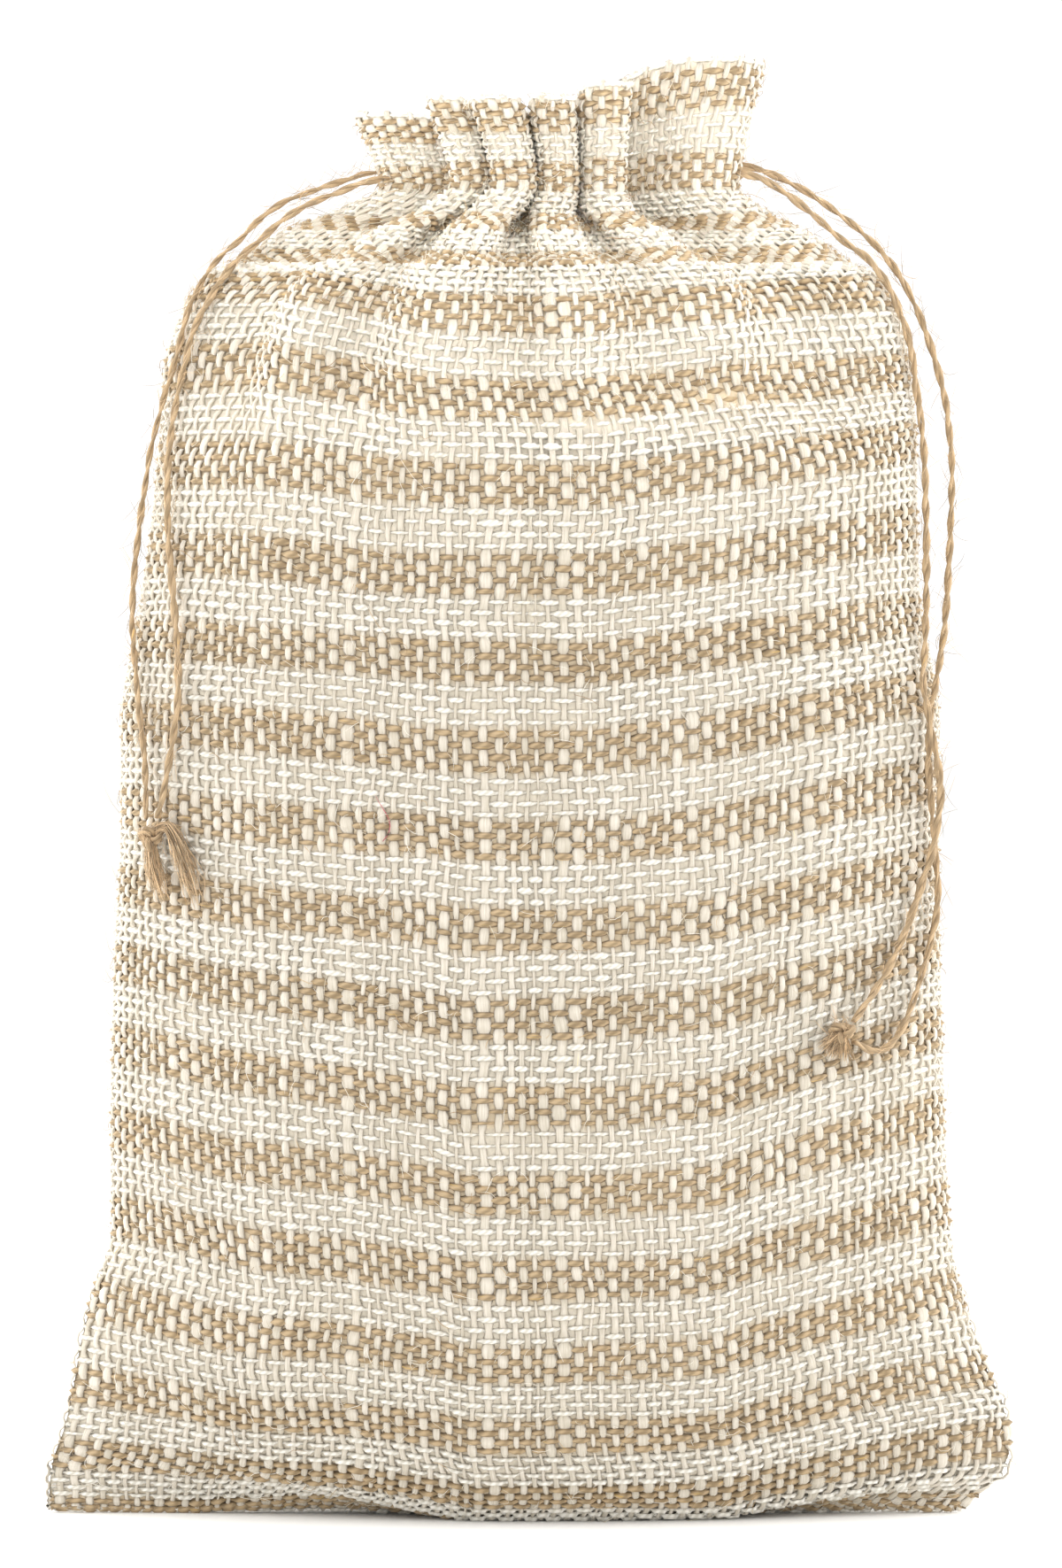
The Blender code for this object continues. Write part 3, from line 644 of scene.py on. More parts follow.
def linear(colour):
    """Linear value of an sRGB hex colour."""
    parts = [int(colour[i:i + 2], 16) / 255 for i in (1, 3, 5)]
    return tuple(part / 12.92 if part <= 0.04045 else ((part + 0.055) / 1.055) ** 2.4
                 for part in parts)


def add_node(tree, kind, settings=None, inputs=None):
    """Add a node with its own settings, and with inputs by the input's identifier: values,
    sockets, or other nodes for their first output."""
    node = tree.nodes.new(kind)
    for name, value in (settings or {}).items():
        setattr(node, name, value)
    sockets = {socket.identifier: socket for socket in node.inputs}
    for name, value in (inputs or {}).items():
        if isinstance(value, bpy.types.Node):
            value = value.outputs[0]
        if isinstance(value, bpy.types.NodeSocket):
            tree.links.new(value, sockets[name])
        else:
            sockets[name].default_value = value
    return node


YARNS_APART = 17.3       # in the noise, so that no two yarns have the same streaks
TONES_SEEN = (0.25, 0.75)     # from here to here, a yarn's tone goes from dark to light
STRIPE_EDGE = 0.35       # how softly one stripe's ground runs into the next
FLECKS_FROM = (0.78, 0.84)    # a fleck comes in over this much noise, where none are asked

# Yarns and fibres: length and width of the streaks of fibre that show along it, and
# length and lean of one turn of its twist, in mm; how much of the look is the twist, whose
# grooves are sunk in the relief and painted darker as painted shade, and the yarn's own
# tone, and how much of it is flecked; its finish; and its relief in mm.
YARN_COLUMNS = ("streak_length", "streak_width", "turn_length", "turn_lean", "twist_share",
                "tone_share", "fleck_share", "roughness", "sheen", "relief")
YARNS = {
    # Bleached jute, spun loosely and left flat: broad soft streaks of fibre along the
    # yarn, a dull sheen and a little of its own straw colour.
    "bleached_jute_warp": (5.0, 0.3, 9.0, 2.0, 0.08, 0.18, 0.0, 0.85, 0.12, 0.16),
    # Bleached yarn, spun hard: bright, smooth and round, with fine slanting grooves, which
    # are painted a little darker as painted shade.
    "bleached_twisted_weft": (4.0, 0.2, 1.5, 1.1, 0.5, 0.15, 0.0, 0.7, 0.1, 0.1),
    # Natural jute of two plies: dull, uneven in colour, deeply grooved, with painted shade
    # in its grooves, and with flecks of yellow fibre.
    "natural_jute_weft": (3.5, 0.16, 2.6, 1.3, 0.45, 0.2, 0.06, 0.9, 0.12, 0.18),
    # Jute twine, two plies of unbleached fibre laid together: matt and hairy, with long
    # streaks where the fibres lie together, and painted shade that darkens the grooves
    # between the plies.
    "jute_twine": (7.0, 0.2, 4.5, 2.2, 0.25, 0.12, 0.04, 0.88, 0.15, 0.14),
    # The same jute where it is untwisted: pale gold loose fibres.
    "frayed_jute": (9.0, 0.3, 6.0, 1.0, 0.1, 0.8, 0.1, 0.85, 0.2, 0.03),
    # Loose jute fibre: thin, and glossy enough to catch the light; the dyed one is dull.
    "loose_bleached_fibre": (6.0, 0.3, 6.0, 1.0, 0.1, 0.8, 0.05, 0.6, 0.1, 0.02),
    "loose_natural_fibre": (6.0, 0.3, 6.0, 1.0, 0.1, 0.8, 0.1, 0.6, 0.1, 0.02),
    "loose_dyed_fibre": (6.0, 0.3, 6.0, 1.0, 0.1, 0.2, 0.0, 0.8, 0.1, 0.02),
}


def shades(colour, dark, light):
    """Dark and light shade of a yarn, as shares of its colour; the dark one is also the
    painted shade in the grooves of its twist.
    """
    return np.array(colour) * dark, np.minimum(np.array(colour) * light, 1)


def thread_material(name):
    """New material, its node tree, and in it each point's thread values, whole and apart."""
    material = bpy.data.materials.new(name)
    material.use_nodes = True
    tree = material.node_tree
    tree.nodes.clear()
    place = add_node(tree, "ShaderNodeAttribute", {"attribute_name": "thread"})
    parts = add_node(tree, "ShaderNodeSeparateXYZ", None, {"Vector": place.outputs["Vector"]})
    return material, tree, place.outputs["Vector"], parts.outputs


def spun_yarn(name, dark, light, fleck):
    """Yarn spun of long fibres, in its colours, with the looks that YARNS gives it."""
    yarn = dict(zip(YARN_COLUMNS, YARNS[name]))
    material, tree, place, parts = thread_material(name)
    stretched = add_node(tree, "ShaderNodeVectorMath", {"operation": "MULTIPLY"}, {
        "Vector": place,
        "Vector_001": (1 / yarn["streak_length"], 1 / yarn["streak_width"], YARNS_APART)})
    streaks = add_node(tree, "ShaderNodeTexNoise", None, {
        "Vector": stretched, "Scale": 1.0, "Detail": 3.0, "Roughness": 0.6,
        "Distortion": 0.3})
    turned = add_node(tree, "ShaderNodeMath", {"operation": "MULTIPLY_ADD"}, {
        "Value": parts["Y"], "Value_001": yarn["turn_lean"], "Value_002": parts["X"]})
    phase = add_node(tree, "ShaderNodeMath", {"operation": "MULTIPLY"}, {
        "Value": turned, "Value_001": 2 * math.pi / yarn["turn_length"]})
    wave = add_node(tree, "ShaderNodeMath", {"operation": "SINE"}, {"Value": phase})
    # The grooves of the twist: they sink the relief, and through the tone below they are painted
    # darker, as painted shade.
    twist_groove_and_shade = add_node(tree, "ShaderNodeMapRange", None, {
        "Value": wave, "From Min": -1.0, "From Max": 1.0})
    height = add_node(tree, "ShaderNodeMix", {"data_type": "FLOAT"}, {
        "Factor_Float": yarn["twist_share"], "A_Float": streaks, "B_Float": twist_groove_and_shade})
    own_tone = add_node(tree, "ShaderNodeTexWhiteNoise", {"noise_dimensions": "1D"}, {
        "W": parts["Z"]})
    # Tone of the colour: the streaks of fibre, the painted shade of the twist's grooves, and the
    # yarn's own tone.
    tone = add_node(tree, "ShaderNodeMix", {"data_type": "FLOAT"}, {
        "Factor_Float": yarn["tone_share"], "A_Float": height, "B_Float": own_tone})
    shade = add_node(tree, "ShaderNodeMapRange", {"interpolation_type": "SMOOTHSTEP"}, {
        "Value": tone, "From Min": TONES_SEEN[0], "From Max": TONES_SEEN[1]})
    fibres = add_node(tree, "ShaderNodeMix", {"data_type": "RGBA"}, {
        "Factor_Float": shade, "A_Color": (*dark, 1), "B_Color": (*light, 1)})
    specks = add_node(tree, "ShaderNodeTexNoise", None, {
        "Vector": stretched, "Scale": 0.7, "Detail": 1.0})
    rare = add_node(tree, "ShaderNodeMapRange", None, {
        "Value": specks, "From Min": FLECKS_FROM[0] - yarn["fleck_share"],
        "From Max": FLECKS_FROM[1] - yarn["fleck_share"]})
    flecked = add_node(tree, "ShaderNodeMix", {"data_type": "RGBA"}, {
        "Factor_Float": rare, "A_Color": fibres.outputs[2], "B_Color": (*fleck, 1)})
    bump = add_node(tree, "ShaderNodeBump", None, {
        "Height": height, "Strength": 0.8, "Distance": yarn["relief"] * MM})
    shader = add_node(tree, "ShaderNodeBsdfPrincipled", None, {
        "Base Color": flecked.outputs[2], "Roughness": yarn["roughness"], "IOR": 1.53,
        "Specular IOR Level": 0.25, "Sheen Weight": yarn["sheen"], "Sheen Roughness": 0.5,
        "Normal": bump})
    add_node(tree, "ShaderNodeOutputMaterial", None, {"Surface": shader})
    return material


def yarn_undersides_and_shade(name, light, tan):
    """Undersides of the yarns and painted shade of the gaps, in the colours of the stripes; the
    number of the row, which is the thread values' third, says which stripe a place is in."""
    material, tree, place, parts = thread_material(name)
    turn = math.pi / STRIPE_ROWS
    phase = add_node(tree, "ShaderNodeMath", {"operation": "MULTIPLY_ADD"}, {
        "Value": parts["Z"], "Value_001": turn, "Value_002": -turn * (STRIPE_ROWS - 1) / 2})
    wave = add_node(tree, "ShaderNodeMath", {"operation": "COSINE"}, {"Value": phase})
    in_tan = add_node(tree, "ShaderNodeMapRange", {"interpolation_type": "SMOOTHSTEP"}, {
        "Value": wave, "From Min": -STRIPE_EDGE, "From Max": STRIPE_EDGE})
    mottle = add_node(tree, "ShaderNodeTexNoise", None, {
        "Vector": place, "Scale": 0.7, "Detail": 3.0})
    shade = add_node(tree, "ShaderNodeMapRange", None, {
        "Value": mottle, "From Min": 0.3, "From Max": 0.7, "To Min": 0.82, "To Max": 1.12})
    striped = add_node(tree, "ShaderNodeMix", {"data_type": "RGBA"}, {
        "Factor_Float": in_tan, "A_Color": (*light, 1), "B_Color": (*tan, 1)})
    shaded = add_node(tree, "ShaderNodeVectorMath", {"operation": "SCALE"}, {
        "Vector": striped.outputs[2], "Scale": shade})
    shader = add_node(tree, "ShaderNodeBsdfPrincipled", None, {
        "Base Color": shaded, "Roughness": 0.95, "Specular IOR Level": 0.1})
    add_node(tree, "ShaderNodeOutputMaterial", None, {"Surface": shader})
    return material


# ---------------------------------------------------------------- twine

PLY_RADIUS = 0.56
PLY_OFFSET = 0.47        # from the middle of the twine
PLY_SIDES = 7
TWINE_STEP = 0.7         # between points along the twine
ROUTE_STEPS = 12         # points between two of a route's own, from which it is measured
TURN_LENGTH = 12.5       # of the two plies round each other
PLY_SLUB = 0.13          # how much a ply's thickness changes,
PLY_SLUB_BLUR = 2.5      # over this many points,
PLY_SLUB_MOST = 1.5      # and at most by this many times as much
TIE_INSIDE = 6.0         # a tie runs on this far into the neck, towards these places
NECK_INSIDES = {"left": (-22.0, 2.0, 284.0), "right": (36.0, 1.0, 286.0)}


def lengths_along(lines):
    """Distance of each point from its line's start."""
    steps = np.linalg.norm(np.diff(lines, axis=-2), axis=-1)
    return np.concatenate([np.zeros(steps.shape[:-1] + (1,)), np.cumsum(steps, -1)], -1)


def smooth_route(route, spacing):
    """Points at an even spacing on the smooth curve through a route's own points."""
    points = np.array(route, float)
    ends = np.concatenate([2 * points[:1] - points[1:2], points, 2 * points[-1:] - points[-2:-1]])
    weights = curve_weights(np.arange(ROUTE_STEPS)[:, None] / ROUTE_STEPS)
    fine = [sum(weight * point for weight, point in zip(weights, four))
            for four in zip(ends, ends[1:], ends[2:], ends[3:])]
    fine = np.concatenate([*fine, points[-1:]])
    along = lengths_along(fine)
    places = np.linspace(0, along[-1], max(int(round(along[-1] / spacing)), 1) + 1)
    return np.stack([np.interp(places, along, fine[:, axis]) for axis in range(3)], 1)


def run_inside(route, towards):
    """A tie's route with its start run on straight, into the folds of the neck."""
    start = np.array(route[0])
    return [tuple(start + TIE_INSIDE * unit(np.array(towards) - start)), *route]


def across(centres):
    """For each point of a line, two directions square across it, which turn as little as
    they can, and the direction ahead."""
    ahead = unit(np.gradient(centres, axis=0))
    side = np.cross(ahead[0], (0.3, 1.0, 0.2))       # any direction that crosses the line
    sides = []
    for direction in ahead:
        side = side - direction * side.dot(direction)
        side = side / np.linalg.norm(side)
        sides.append(side)
    return np.array(sides), np.cross(ahead, sides), ahead


def turned_by(angle, side, up):
    """Direction across a line at an angle from side to up."""
    return np.cos(angle)[..., None] * side + np.sin(angle)[..., None] * up


def twisted_plies(centres, random, scale=1.0):
    """Vertices, faces and thread values of two plies twisted round a line."""
    side, up, _ = across(centres)
    along = lengths_along(centres)
    plies = []
    turn = np.linspace(0, 2 * np.pi, PLY_SIDES, endpoint=False)
    circle = np.stack([np.cos(turn), np.sin(turn)], -1)
    for ply in (0, 1):
        away = turned_by(2 * np.pi * along / TURN_LENGTH + np.pi * ply, side, up)
        slub = smooth_noise(random, (len(along), 1), PLY_SLUB_BLUR)[:, 0]
        slub = np.clip(slub, -PLY_SLUB_MOST, PLY_SLUB_MOST)
        radius = PLY_RADIUS * scale * (1 + PLY_SLUB * slub)
        profile = (radius[:, None, None] * circle)[None]
        plies.append((*tubes((centres + PLY_OFFSET * scale * away)[None], away[None], profile),
                      thread_values(along[None], profile, [ply])))
    return merged(plies)


def merged(meshes):
    """Several meshes' vertices, faces and thread values as one."""
    vertices, faces, values = zip(*meshes)
    vertices = [part.reshape(-1, 3) for part in vertices]
    starts = np.cumsum([0] + [len(part) for part in vertices])
    faces = [face + start for start, part in zip(starts, faces) for face in part]
    return (np.concatenate(vertices), faces,
            np.concatenate([part.reshape(-1, 3) for part in values]))


FIBRE_CORNERS = (0.5, 2.6, 4.7)      # angles of a fibre's three edges, in radians
FIBRE_TAPER = ((0, 0.15, 0.7, 1), (0.8, 1, 0.9, 0.25))   # shares of its length and radius


def fibre_tubes(paths, radius, numbers):
    """Vertices, faces and thread values of thin fibres, three-sided and pointed."""
    turn = np.array(FIBRE_CORNERS)
    taper = np.interp(np.linspace(0, 1, paths.shape[1]), *FIBRE_TAPER)
    circle = np.stack([np.cos(turn), np.sin(turn)], -1)
    profile = np.broadcast_to(np.asarray(radius)[:, None, None, None]
                              * taper[None, :, None, None] * circle,
                              paths.shape[:2] + (3, 2))
    # A fibre faces up, or aside where it stands upright itself.
    ahead = unit(np.gradient(paths, axis=1))
    facing = np.where(np.abs(ahead[..., 2:]) > 0.9, (1.0, 0, 0), (0.1, -0.3, 1.0))
    facing = unit(np.broadcast_to(facing, paths.shape))
    vertices, faces = tubes(paths, facing, profile)
    return vertices, faces, thread_values(lengths_along(paths), profile, numbers)


KNOT_POINTS = 72         # along the wound strand of an overhand knot
KNOT_DRAWN = 0.95        # its twine is drawn thinner by this
KNOT_INSIDE = 0.9        # share of the twine's thickness that stays inside the knot's size
KNOT_HAIRS = 110
HAIR_LENGTHS = (1.2, 5.5)
HAIR_RADII = (0.035, 0.06)
HAIR_ROOT = 0.85         # a hair starts this far from the middle of the twine,
HAIR_LEAN = (0.1, 0.9)   # leans out by this much, strays and curls
HAIR_STRAY = 0.25
HAIR_CURL = 0.28
HAIR_POINTS = 5
# Frayed tails: the longest fibre and the shortest, as shares of the tail and of the
# longest, and how far they open out and stray, as shares of the tail's radius.
TAIL_LENGTHS = {"left": 1.12, "right": 0.85}
TAIL_SHORTEST = 0.45
TAIL_STEP = 1.8          # between the points of a tail
TAIL_OPENING = (0.8, 1.7)
TAIL_STRAY = (0.165, 0.55)
TAIL_STRAY_BLUR = 0.8
TAIL_RADIUS = 0.075      # of a fibre
TAIL_RADII = (0.7, 1.3)
TONES = 50               # fibres are numbered up to here, and take their tones from that


def wound_strand(knot):
    """Line of the strand wound in a knot, within the knot's half sizes."""
    turn = np.linspace(0, 2 * np.pi, KNOT_POINTS, endpoint=False)
    line = np.stack([np.sin(turn) + 2 * np.sin(2 * turn), -np.sin(3 * turn),
                     np.cos(turn) - 2 * np.cos(2 * turn)], -1)
    room = np.array(knot["half_size"]) - (PLY_RADIUS + PLY_OFFSET) * KNOT_INSIDE
    return np.array(knot["middle"]) + line / np.abs(line).max(0) * room


def frayed_tail(tail, random, count, length):
    """Loose fibres of a tail, opening out to its end; length is the longest's."""
    route = np.array(tail)
    middle = smooth_route(route[:, :3], TAIL_STEP)
    share = np.linspace(0, 1, len(middle))
    reach = np.interp(share, np.linspace(0, 1, len(route)), route[:, 3])
    side, up, _ = across(middle)
    angle = random.uniform(0, 2 * np.pi, count)[:, None]
    out = (np.sqrt(random.uniform(0, 1, count))[:, None]
           * np.linspace(*TAIL_OPENING, len(middle)))
    stray = (smooth_noise(random, (count, len(middle)), TAIL_STRAY_BLUR)
             * np.linspace(*TAIL_STRAY, len(middle)))
    away = (out + stray)[..., None] * reach[:, None] * turned_by(angle, side, up)
    lengths = length * random.uniform(TAIL_SHORTEST, 1.0, count)[:, None]
    stations = share[None] * lengths * (len(middle) - 1)
    paths = middle[None] + away
    low = np.clip(stations.astype(int), 0, len(middle) - 2)
    part = (stations - low)[..., None]
    row = np.arange(count)[:, None]
    return fibre_tubes(paths[row, low] * (1 - part) + paths[row, low + 1] * part,
                       random.uniform(*TAIL_RADII, count) * TAIL_RADIUS,
                       random.uniform(0, TONES, count))


def twine_hairs(centres, random, count):
    """Short fibres that stand off a twine."""
    side, up, ahead = across(centres)
    start = random.integers(2, len(centres) - 2, count)
    out = turned_by(random.uniform(0, 2 * np.pi, count), side[start], up[start])
    way = unit(ahead[start] * random.choice([-1, 1], count)[:, None]
               + out * random.uniform(*HAIR_LEAN, count)[:, None]
               + random.normal(0, HAIR_STRAY, (count, 3)))
    length = random.uniform(*HAIR_LENGTHS, count)[:, None, None]
    share = np.linspace(0, 1, HAIR_POINTS)[None, :, None]
    curl = random.normal(0, HAIR_CURL, (count, 1, 3)) * length * share ** 2
    paths = (centres[start][:, None] + HAIR_ROOT * out[:, None]
             + way[:, None] * length * share + curl)
    return fibre_tubes(paths, random.uniform(*HAIR_RADII, count),
                       random.uniform(0, TONES, count))


# ---------------------------------------------------------------- settings

class SackClothSettings(PropertyGroup):
    """Weave and colours of the cloth."""

    warps: IntProperty(
        name="Warps", description="Threads that run up the sack, all round it; an even number",
        default=152, min=40, max=200, step=2)
    warp_width: FloatProperty(
        name="Warp width", description="Usual width of the flat warp yarn",
        default=1.95 * MM, min=0.4 * MM, max=2.4 * MM, unit="LENGTH", precision=5)
    white_weft: FloatProperty(
        name="White weft", description="Thickness of the white yarn across the sack",
        default=1.16 * MM, min=0.3 * MM, max=1.8 * MM, unit="LENGTH", precision=5)
    tan_weft: FloatProperty(
        name="Tan weft", description="Thickness of the tan yarn across the sack",
        default=1.5 * MM, min=0.3 * MM, max=2.0 * MM, unit="LENGTH", precision=5)
    stray_fibres: IntProperty(
        name="Stray fibres", description="Loose fibres that stand off the cloth",
        default=7500, min=0, max=9000)
    warp_colour: FloatVectorProperty(
        name="Warp", description="Bleached flat yarn that runs up the sack",
        default=linear("#DED6C9"), subtype="COLOR", min=0, max=1)
    white_colour: FloatVectorProperty(
        name="White weft", description="Bleached round yarn of the light stripes",
        default=linear("#F1EDE4"), subtype="COLOR", min=0, max=1)
    tan_colour: FloatVectorProperty(
        name="Tan weft", description="Unbleached yarn of the dark stripes",
        default=linear("#B09A7A"), subtype="COLOR", min=0, max=1)
    # The ground's colours are the yarns' undersides with painted shade of the gaps, a little
    # darker than the yarns.
    ground_colour: FloatVectorProperty(
        name="Ground", description="What shows between the threads of the light stripes",
        default=linear("#DBD2C1"), subtype="COLOR", min=0, max=1)
    tan_ground_colour: FloatVectorProperty(
        name="Tan ground", description="What shows between the threads of the tan stripes",
        default=linear("#D6C5A9"), subtype="COLOR", min=0, max=1)


class SackTwineSettings(PropertyGroup):
    """The drawstrings' jute twine."""

    hairs: IntProperty(
        name="Hairs", description="Short fibres that stand off the twine, for each metre",
        default=1700, min=0, max=3000)
    tail_fibres: IntProperty(
        name="Tail fibres", description="Fibres in each frayed end",
        default=150, min=10, max=300)
    colour: FloatVectorProperty(
        name="Twine", description="Colour of the jute twine",
        default=linear("#B39A79"), subtype="COLOR", min=0, max=1)


class SackStageSettings(PropertyGroup):
    """Camera, floor and light."""

    floor_size: FloatProperty(
        name="Floor", description="Side of the square floor",
        default=24.0, min=2, unit="LENGTH")
    floor_colour: FloatVectorProperty(
        name="Floor colour", description="Pale floor",
        default=linear("#F7F7F6"), subtype="COLOR", min=0, max=1)
    key_power: FloatProperty(
        name="Key light", description="Power of the large soft light, in watts",
        default=4.0, min=0)
    fill_power: FloatProperty(
        name="Fill light", description="Power of the light from the other side, in watts",
        default=4.5, min=0)
    rim_power: FloatProperty(
        name="Rim lights", description="Power of each light at the sides, in watts",
        default=22.0, min=0)
    top_power: FloatProperty(
        name="Top light", description="Power of the light over the neck, in watts",
        default=0.7, min=0)
    neck_power: FloatProperty(
        name="Neck light", description="Power of the narrow light on the neck, in watts",
        default=0.033, min=0, precision=3)


# ---------------------------------------------------------------- pieces

CAMERA_DISTANCE = 1.5
CAMERA_AIM = (0.0009, 0.0, 0.1542)
CAMERA_RISE = 0.026      # of the camera over what it looks at
SEEN_WIDTH = 0.2244      # at the middle of the sack
SENSOR_WIDTH = 36.0
FAR_CLIP = 100
# Soft lights: name, place, what it is aimed at, size, the setting of its power, and the
# spread of its beam. In metres and radians.
LIGHTS = (
    ("key_light", (-1.25, -0.85, 1.1), CAMERA_AIM, 0.9, "key_power", math.pi),
    ("fill_light", (1.45, -0.8, 0.7), CAMERA_AIM, 1.4, "fill_power", math.pi),
    ("left_rim_light", (-1.5, 0.35, 0.45), CAMERA_AIM, 1.2, "rim_power", math.pi),
    ("right_rim_light", (1.5, 0.35, 0.45), CAMERA_AIM, 1.2, "rim_power", math.pi),
    ("top_light", (0.0, -0.25, 0.62), (0.0, 0.0, 0.29), 0.35, "top_power", math.pi),
    ("neck_light", (-0.05, -1.3, 0.45), (0.0, 0.0, 0.3), 0.12, "neck_power",
     math.radians(8)),
)
ROOM_LIGHT = 1.1         # even white light from all round


class SACK_OT_stage(Operator):
    """Set the camera, the pale floor and the soft light"""

    bl_idname = "sack.stage"
    bl_label = "Stage"

    def execute(self, context):
        settings = context.scene.sack_stage_settings
        scene = context.scene
        camera = bpy.data.objects.new("camera", bpy.data.cameras.new("camera"))
        camera.data.sensor_fit = "HORIZONTAL"
        camera.data.sensor_width = SENSOR_WIDTH
        camera.data.lens = SENSOR_WIDTH * CAMERA_DISTANCE / SEEN_WIDTH
        camera.data.clip_end = FAR_CLIP
        aim = Vector(CAMERA_AIM)
        camera.location = aim + Vector((0, -CAMERA_DISTANCE, CAMERA_RISE))
        camera.rotation_euler = (aim - camera.location).to_track_quat("-Z", "Y").to_euler()
        scene.collection.objects.link(camera)
        scene.camera = camera
        scene.view_settings.view_transform = "Standard"

        for name, place, lit, size, power, spread in LIGHTS:
            lamp = bpy.data.objects.new(name, bpy.data.lights.new(name, "AREA"))
            lamp.data.size = size
            lamp.data.energy = getattr(settings, power)
            lamp.data.spread = spread
            lamp.location = place
            aside = Vector(lit) - lamp.location
            lamp.rotation_euler = aside.to_track_quat("-Z", "Y").to_euler()
            scene.collection.objects.link(lamp)

        world = bpy.data.worlds.new("studio")
        world.use_nodes = True
        background = next(node for node in world.node_tree.nodes if node.type == "BACKGROUND")
        background.inputs["Color"].default_value = (1, 1, 1, 1)
        background.inputs["Strength"].default_value = ROOM_LIGHT
        scene.world = world

        # Matt white painted board: even, with no gleam.
        paint = bpy.data.materials.new("matt_white_board")
        paint.use_nodes = True
        shader = next(node for node in paint.node_tree.nodes if node.type == "BSDF_PRINCIPLED")
        shader.inputs["Base Color"].default_value = (*settings.floor_colour, 1)
        shader.inputs["Roughness"].default_value = 0.9
        shader.inputs["Specular IOR Level"].default_value = 0.1
        half = settings.floor_size / 2
        mesh = bpy.data.meshes.new("floor")
        mesh.from_pydata([(-half, -half, 0), (half, -half, 0), (half, half, 0), (-half, half, 0)],
                         [], [(0, 1, 2, 3)])
        mesh.materials.append(paint)
        floor = bpy.data.objects.new("floor", mesh)
        scene.collection.objects.link(floor)
        return {"FINISHED"}


# Each side's knot and tails, and its two strands: their routes, and how much thinner each
# is drawn than the solid's cord.
SIDES = (
    ("left", LEFT_KNOT, (LEFT_LONG_TAIL, LEFT_SHORT_TAIL),
     (("outer", LEFT_OUTER_ROUTE, 0.68), ("inner", LEFT_INNER_ROUTE, 0.78))),
    ("right", RIGHT_KNOT, (RIGHT_LONG_TAIL, RIGHT_SHORT_TAIL),
     (("outer", RIGHT_OUTER_ROUTE, 0.78), ("inner", RIGHT_INNER_ROUTE, 0.84))),
)


class SACK_OT_ties(Operator):
    """Twist the four ties, wind their two knots and fray the ends"""

    bl_idname = "sack.ties"
    bl_label = "Ties and knots"

    def execute(self, context):
        settings = context.scene.sack_twine_settings
        random = np.random.default_rng(SEED + 1)
        twine = spun_yarn("jute_twine", *shades(settings.colour, 0.62, 1.3), linear("#D8AE62"))
        frayed = spun_yarn("frayed_jute", *shades(settings.colour, 0.62, 2.0),
                           linear("#BC8A50"))
        for side, knot, tails, strands in SIDES:
            line = wound_strand(knot)
            loop = np.concatenate([line, line[:2]])
            wound = sack_piece(f"{side}_knot_twine", twisted_plies(loop, random, KNOT_DRAWN),
                               twine)
            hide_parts(f"{side}_knot")
            ends = [frayed_tail(tail, random, settings.tail_fibres, TAIL_LENGTHS[side])
                    for tail in tails]
            ends.append(twine_hairs(line, random, KNOT_HAIRS))
            fray = sack_piece(f"{side}_frayed_ends", merged(ends), frayed)
            for place, route, drawn in strands:
                centres = smooth_route(run_inside(route, NECK_INSIDES[side]), TWINE_STEP)
                name = f"{side}_{place}_tie"
                tie = sack_piece(f"{name}_twine", twisted_plies(centres, random, drawn), twine)
                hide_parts(name)
                length = lengths_along(centres)[-1]
                hairs = twine_hairs(centres, random, int(settings.hairs * length * MM))
                sack_piece(f"{name}_hairs", hairs, frayed)
        return {"FINISHED"}


class SACK_OT_warp(Operator):
    """Lay the warp, the flat yarns that run up the sack"""

    bl_idname = "sack.warp"
    bl_label = "Warp"

    def execute(self, context):
        settings = context.scene.sack_cloth_settings
        bleached = spun_yarn("bleached_jute_warp",
                             *shades(settings.warp_colour, (0.74, 0.72, 0.66), 1.06),
                             linear("#E8D9B0"))
        half = settings.warps // 2
        for name, first, last in (("front_warp", 0, half), ("back_warp", half, settings.warps)):
            woven_yarns(name, warp_threads(first, last), np.arange(first, last), bleached)
        return {"FINISHED"}


FIRST_WEFT_NUMBER = 200  # over those of the warps


class SACK_OT_weft(Operator):
    """Lay the white and the tan rows of weft round the sack"""

    bl_idname = "sack.weft"
    bl_label = "Weft"

    def execute(self, context):
        settings = context.scene.sack_cloth_settings
        bright = spun_yarn("bleached_twisted_weft",
                           *shades(settings.white_colour, (0.8, 0.79, 0.75), 1.06),
                           linear("#F2EAD2"))
        natural = spun_yarn("natural_jute_weft",
                            *shades(settings.tan_colour, (0.72, 0.7, 0.66), 1.25),
                            linear("#D2AE62"))
        rows = np.arange(len(weave().tan))
        for kind, chosen, size, material in (
                ("white", rows[~weave().tan], settings.white_weft, bright),
                ("tan", rows[weave().tan], settings.tan_weft, natural)):
            woven_yarns(f"{kind}_weft", weft_threads(chosen, kind, size / MM),
                        FIRST_WEFT_NUMBER + chosen, material, closed=True)
        return {"FINISHED"}


FIBRE_LENGTHS = (1.2, 5.0)
LONG_SHARE = 0.06        # of the fibres are longer, up to LONGEST
LONGEST = 9.5
FIBRE_POINTS = 4
FIBRE_RADII = (0.045, 0.075)
FIBRES_FROM = 6.0        # lowest fibre, up the warp
FREE_FROM = 10.0         # and the lowest that isn't on a tan row
NECK_SHARE = 0.2         # of the stray fibres are at the gathers, most of them in the
GATHERS = (258, 306, 336)     # middle of these
TAN_SHARE = 0.7          # of the others stand on the tan rows, which shed the most
BROWN_SHARES = (0.16, 0.5)    # of them in the body of the sack, and at the gathers
FIBRE_STRAY = 0.5        # from its row
FIBRE_BEND = 1.3         # in radians, end to end
FIBRE_ROOT = 0.7         # height at which a fibre leaves the cloth; then how it rises
FIBRE_RISE = (0.15, 0.8)
FIBRE_RISE_POWER = 0.7   # longer fibres stand less high for their length
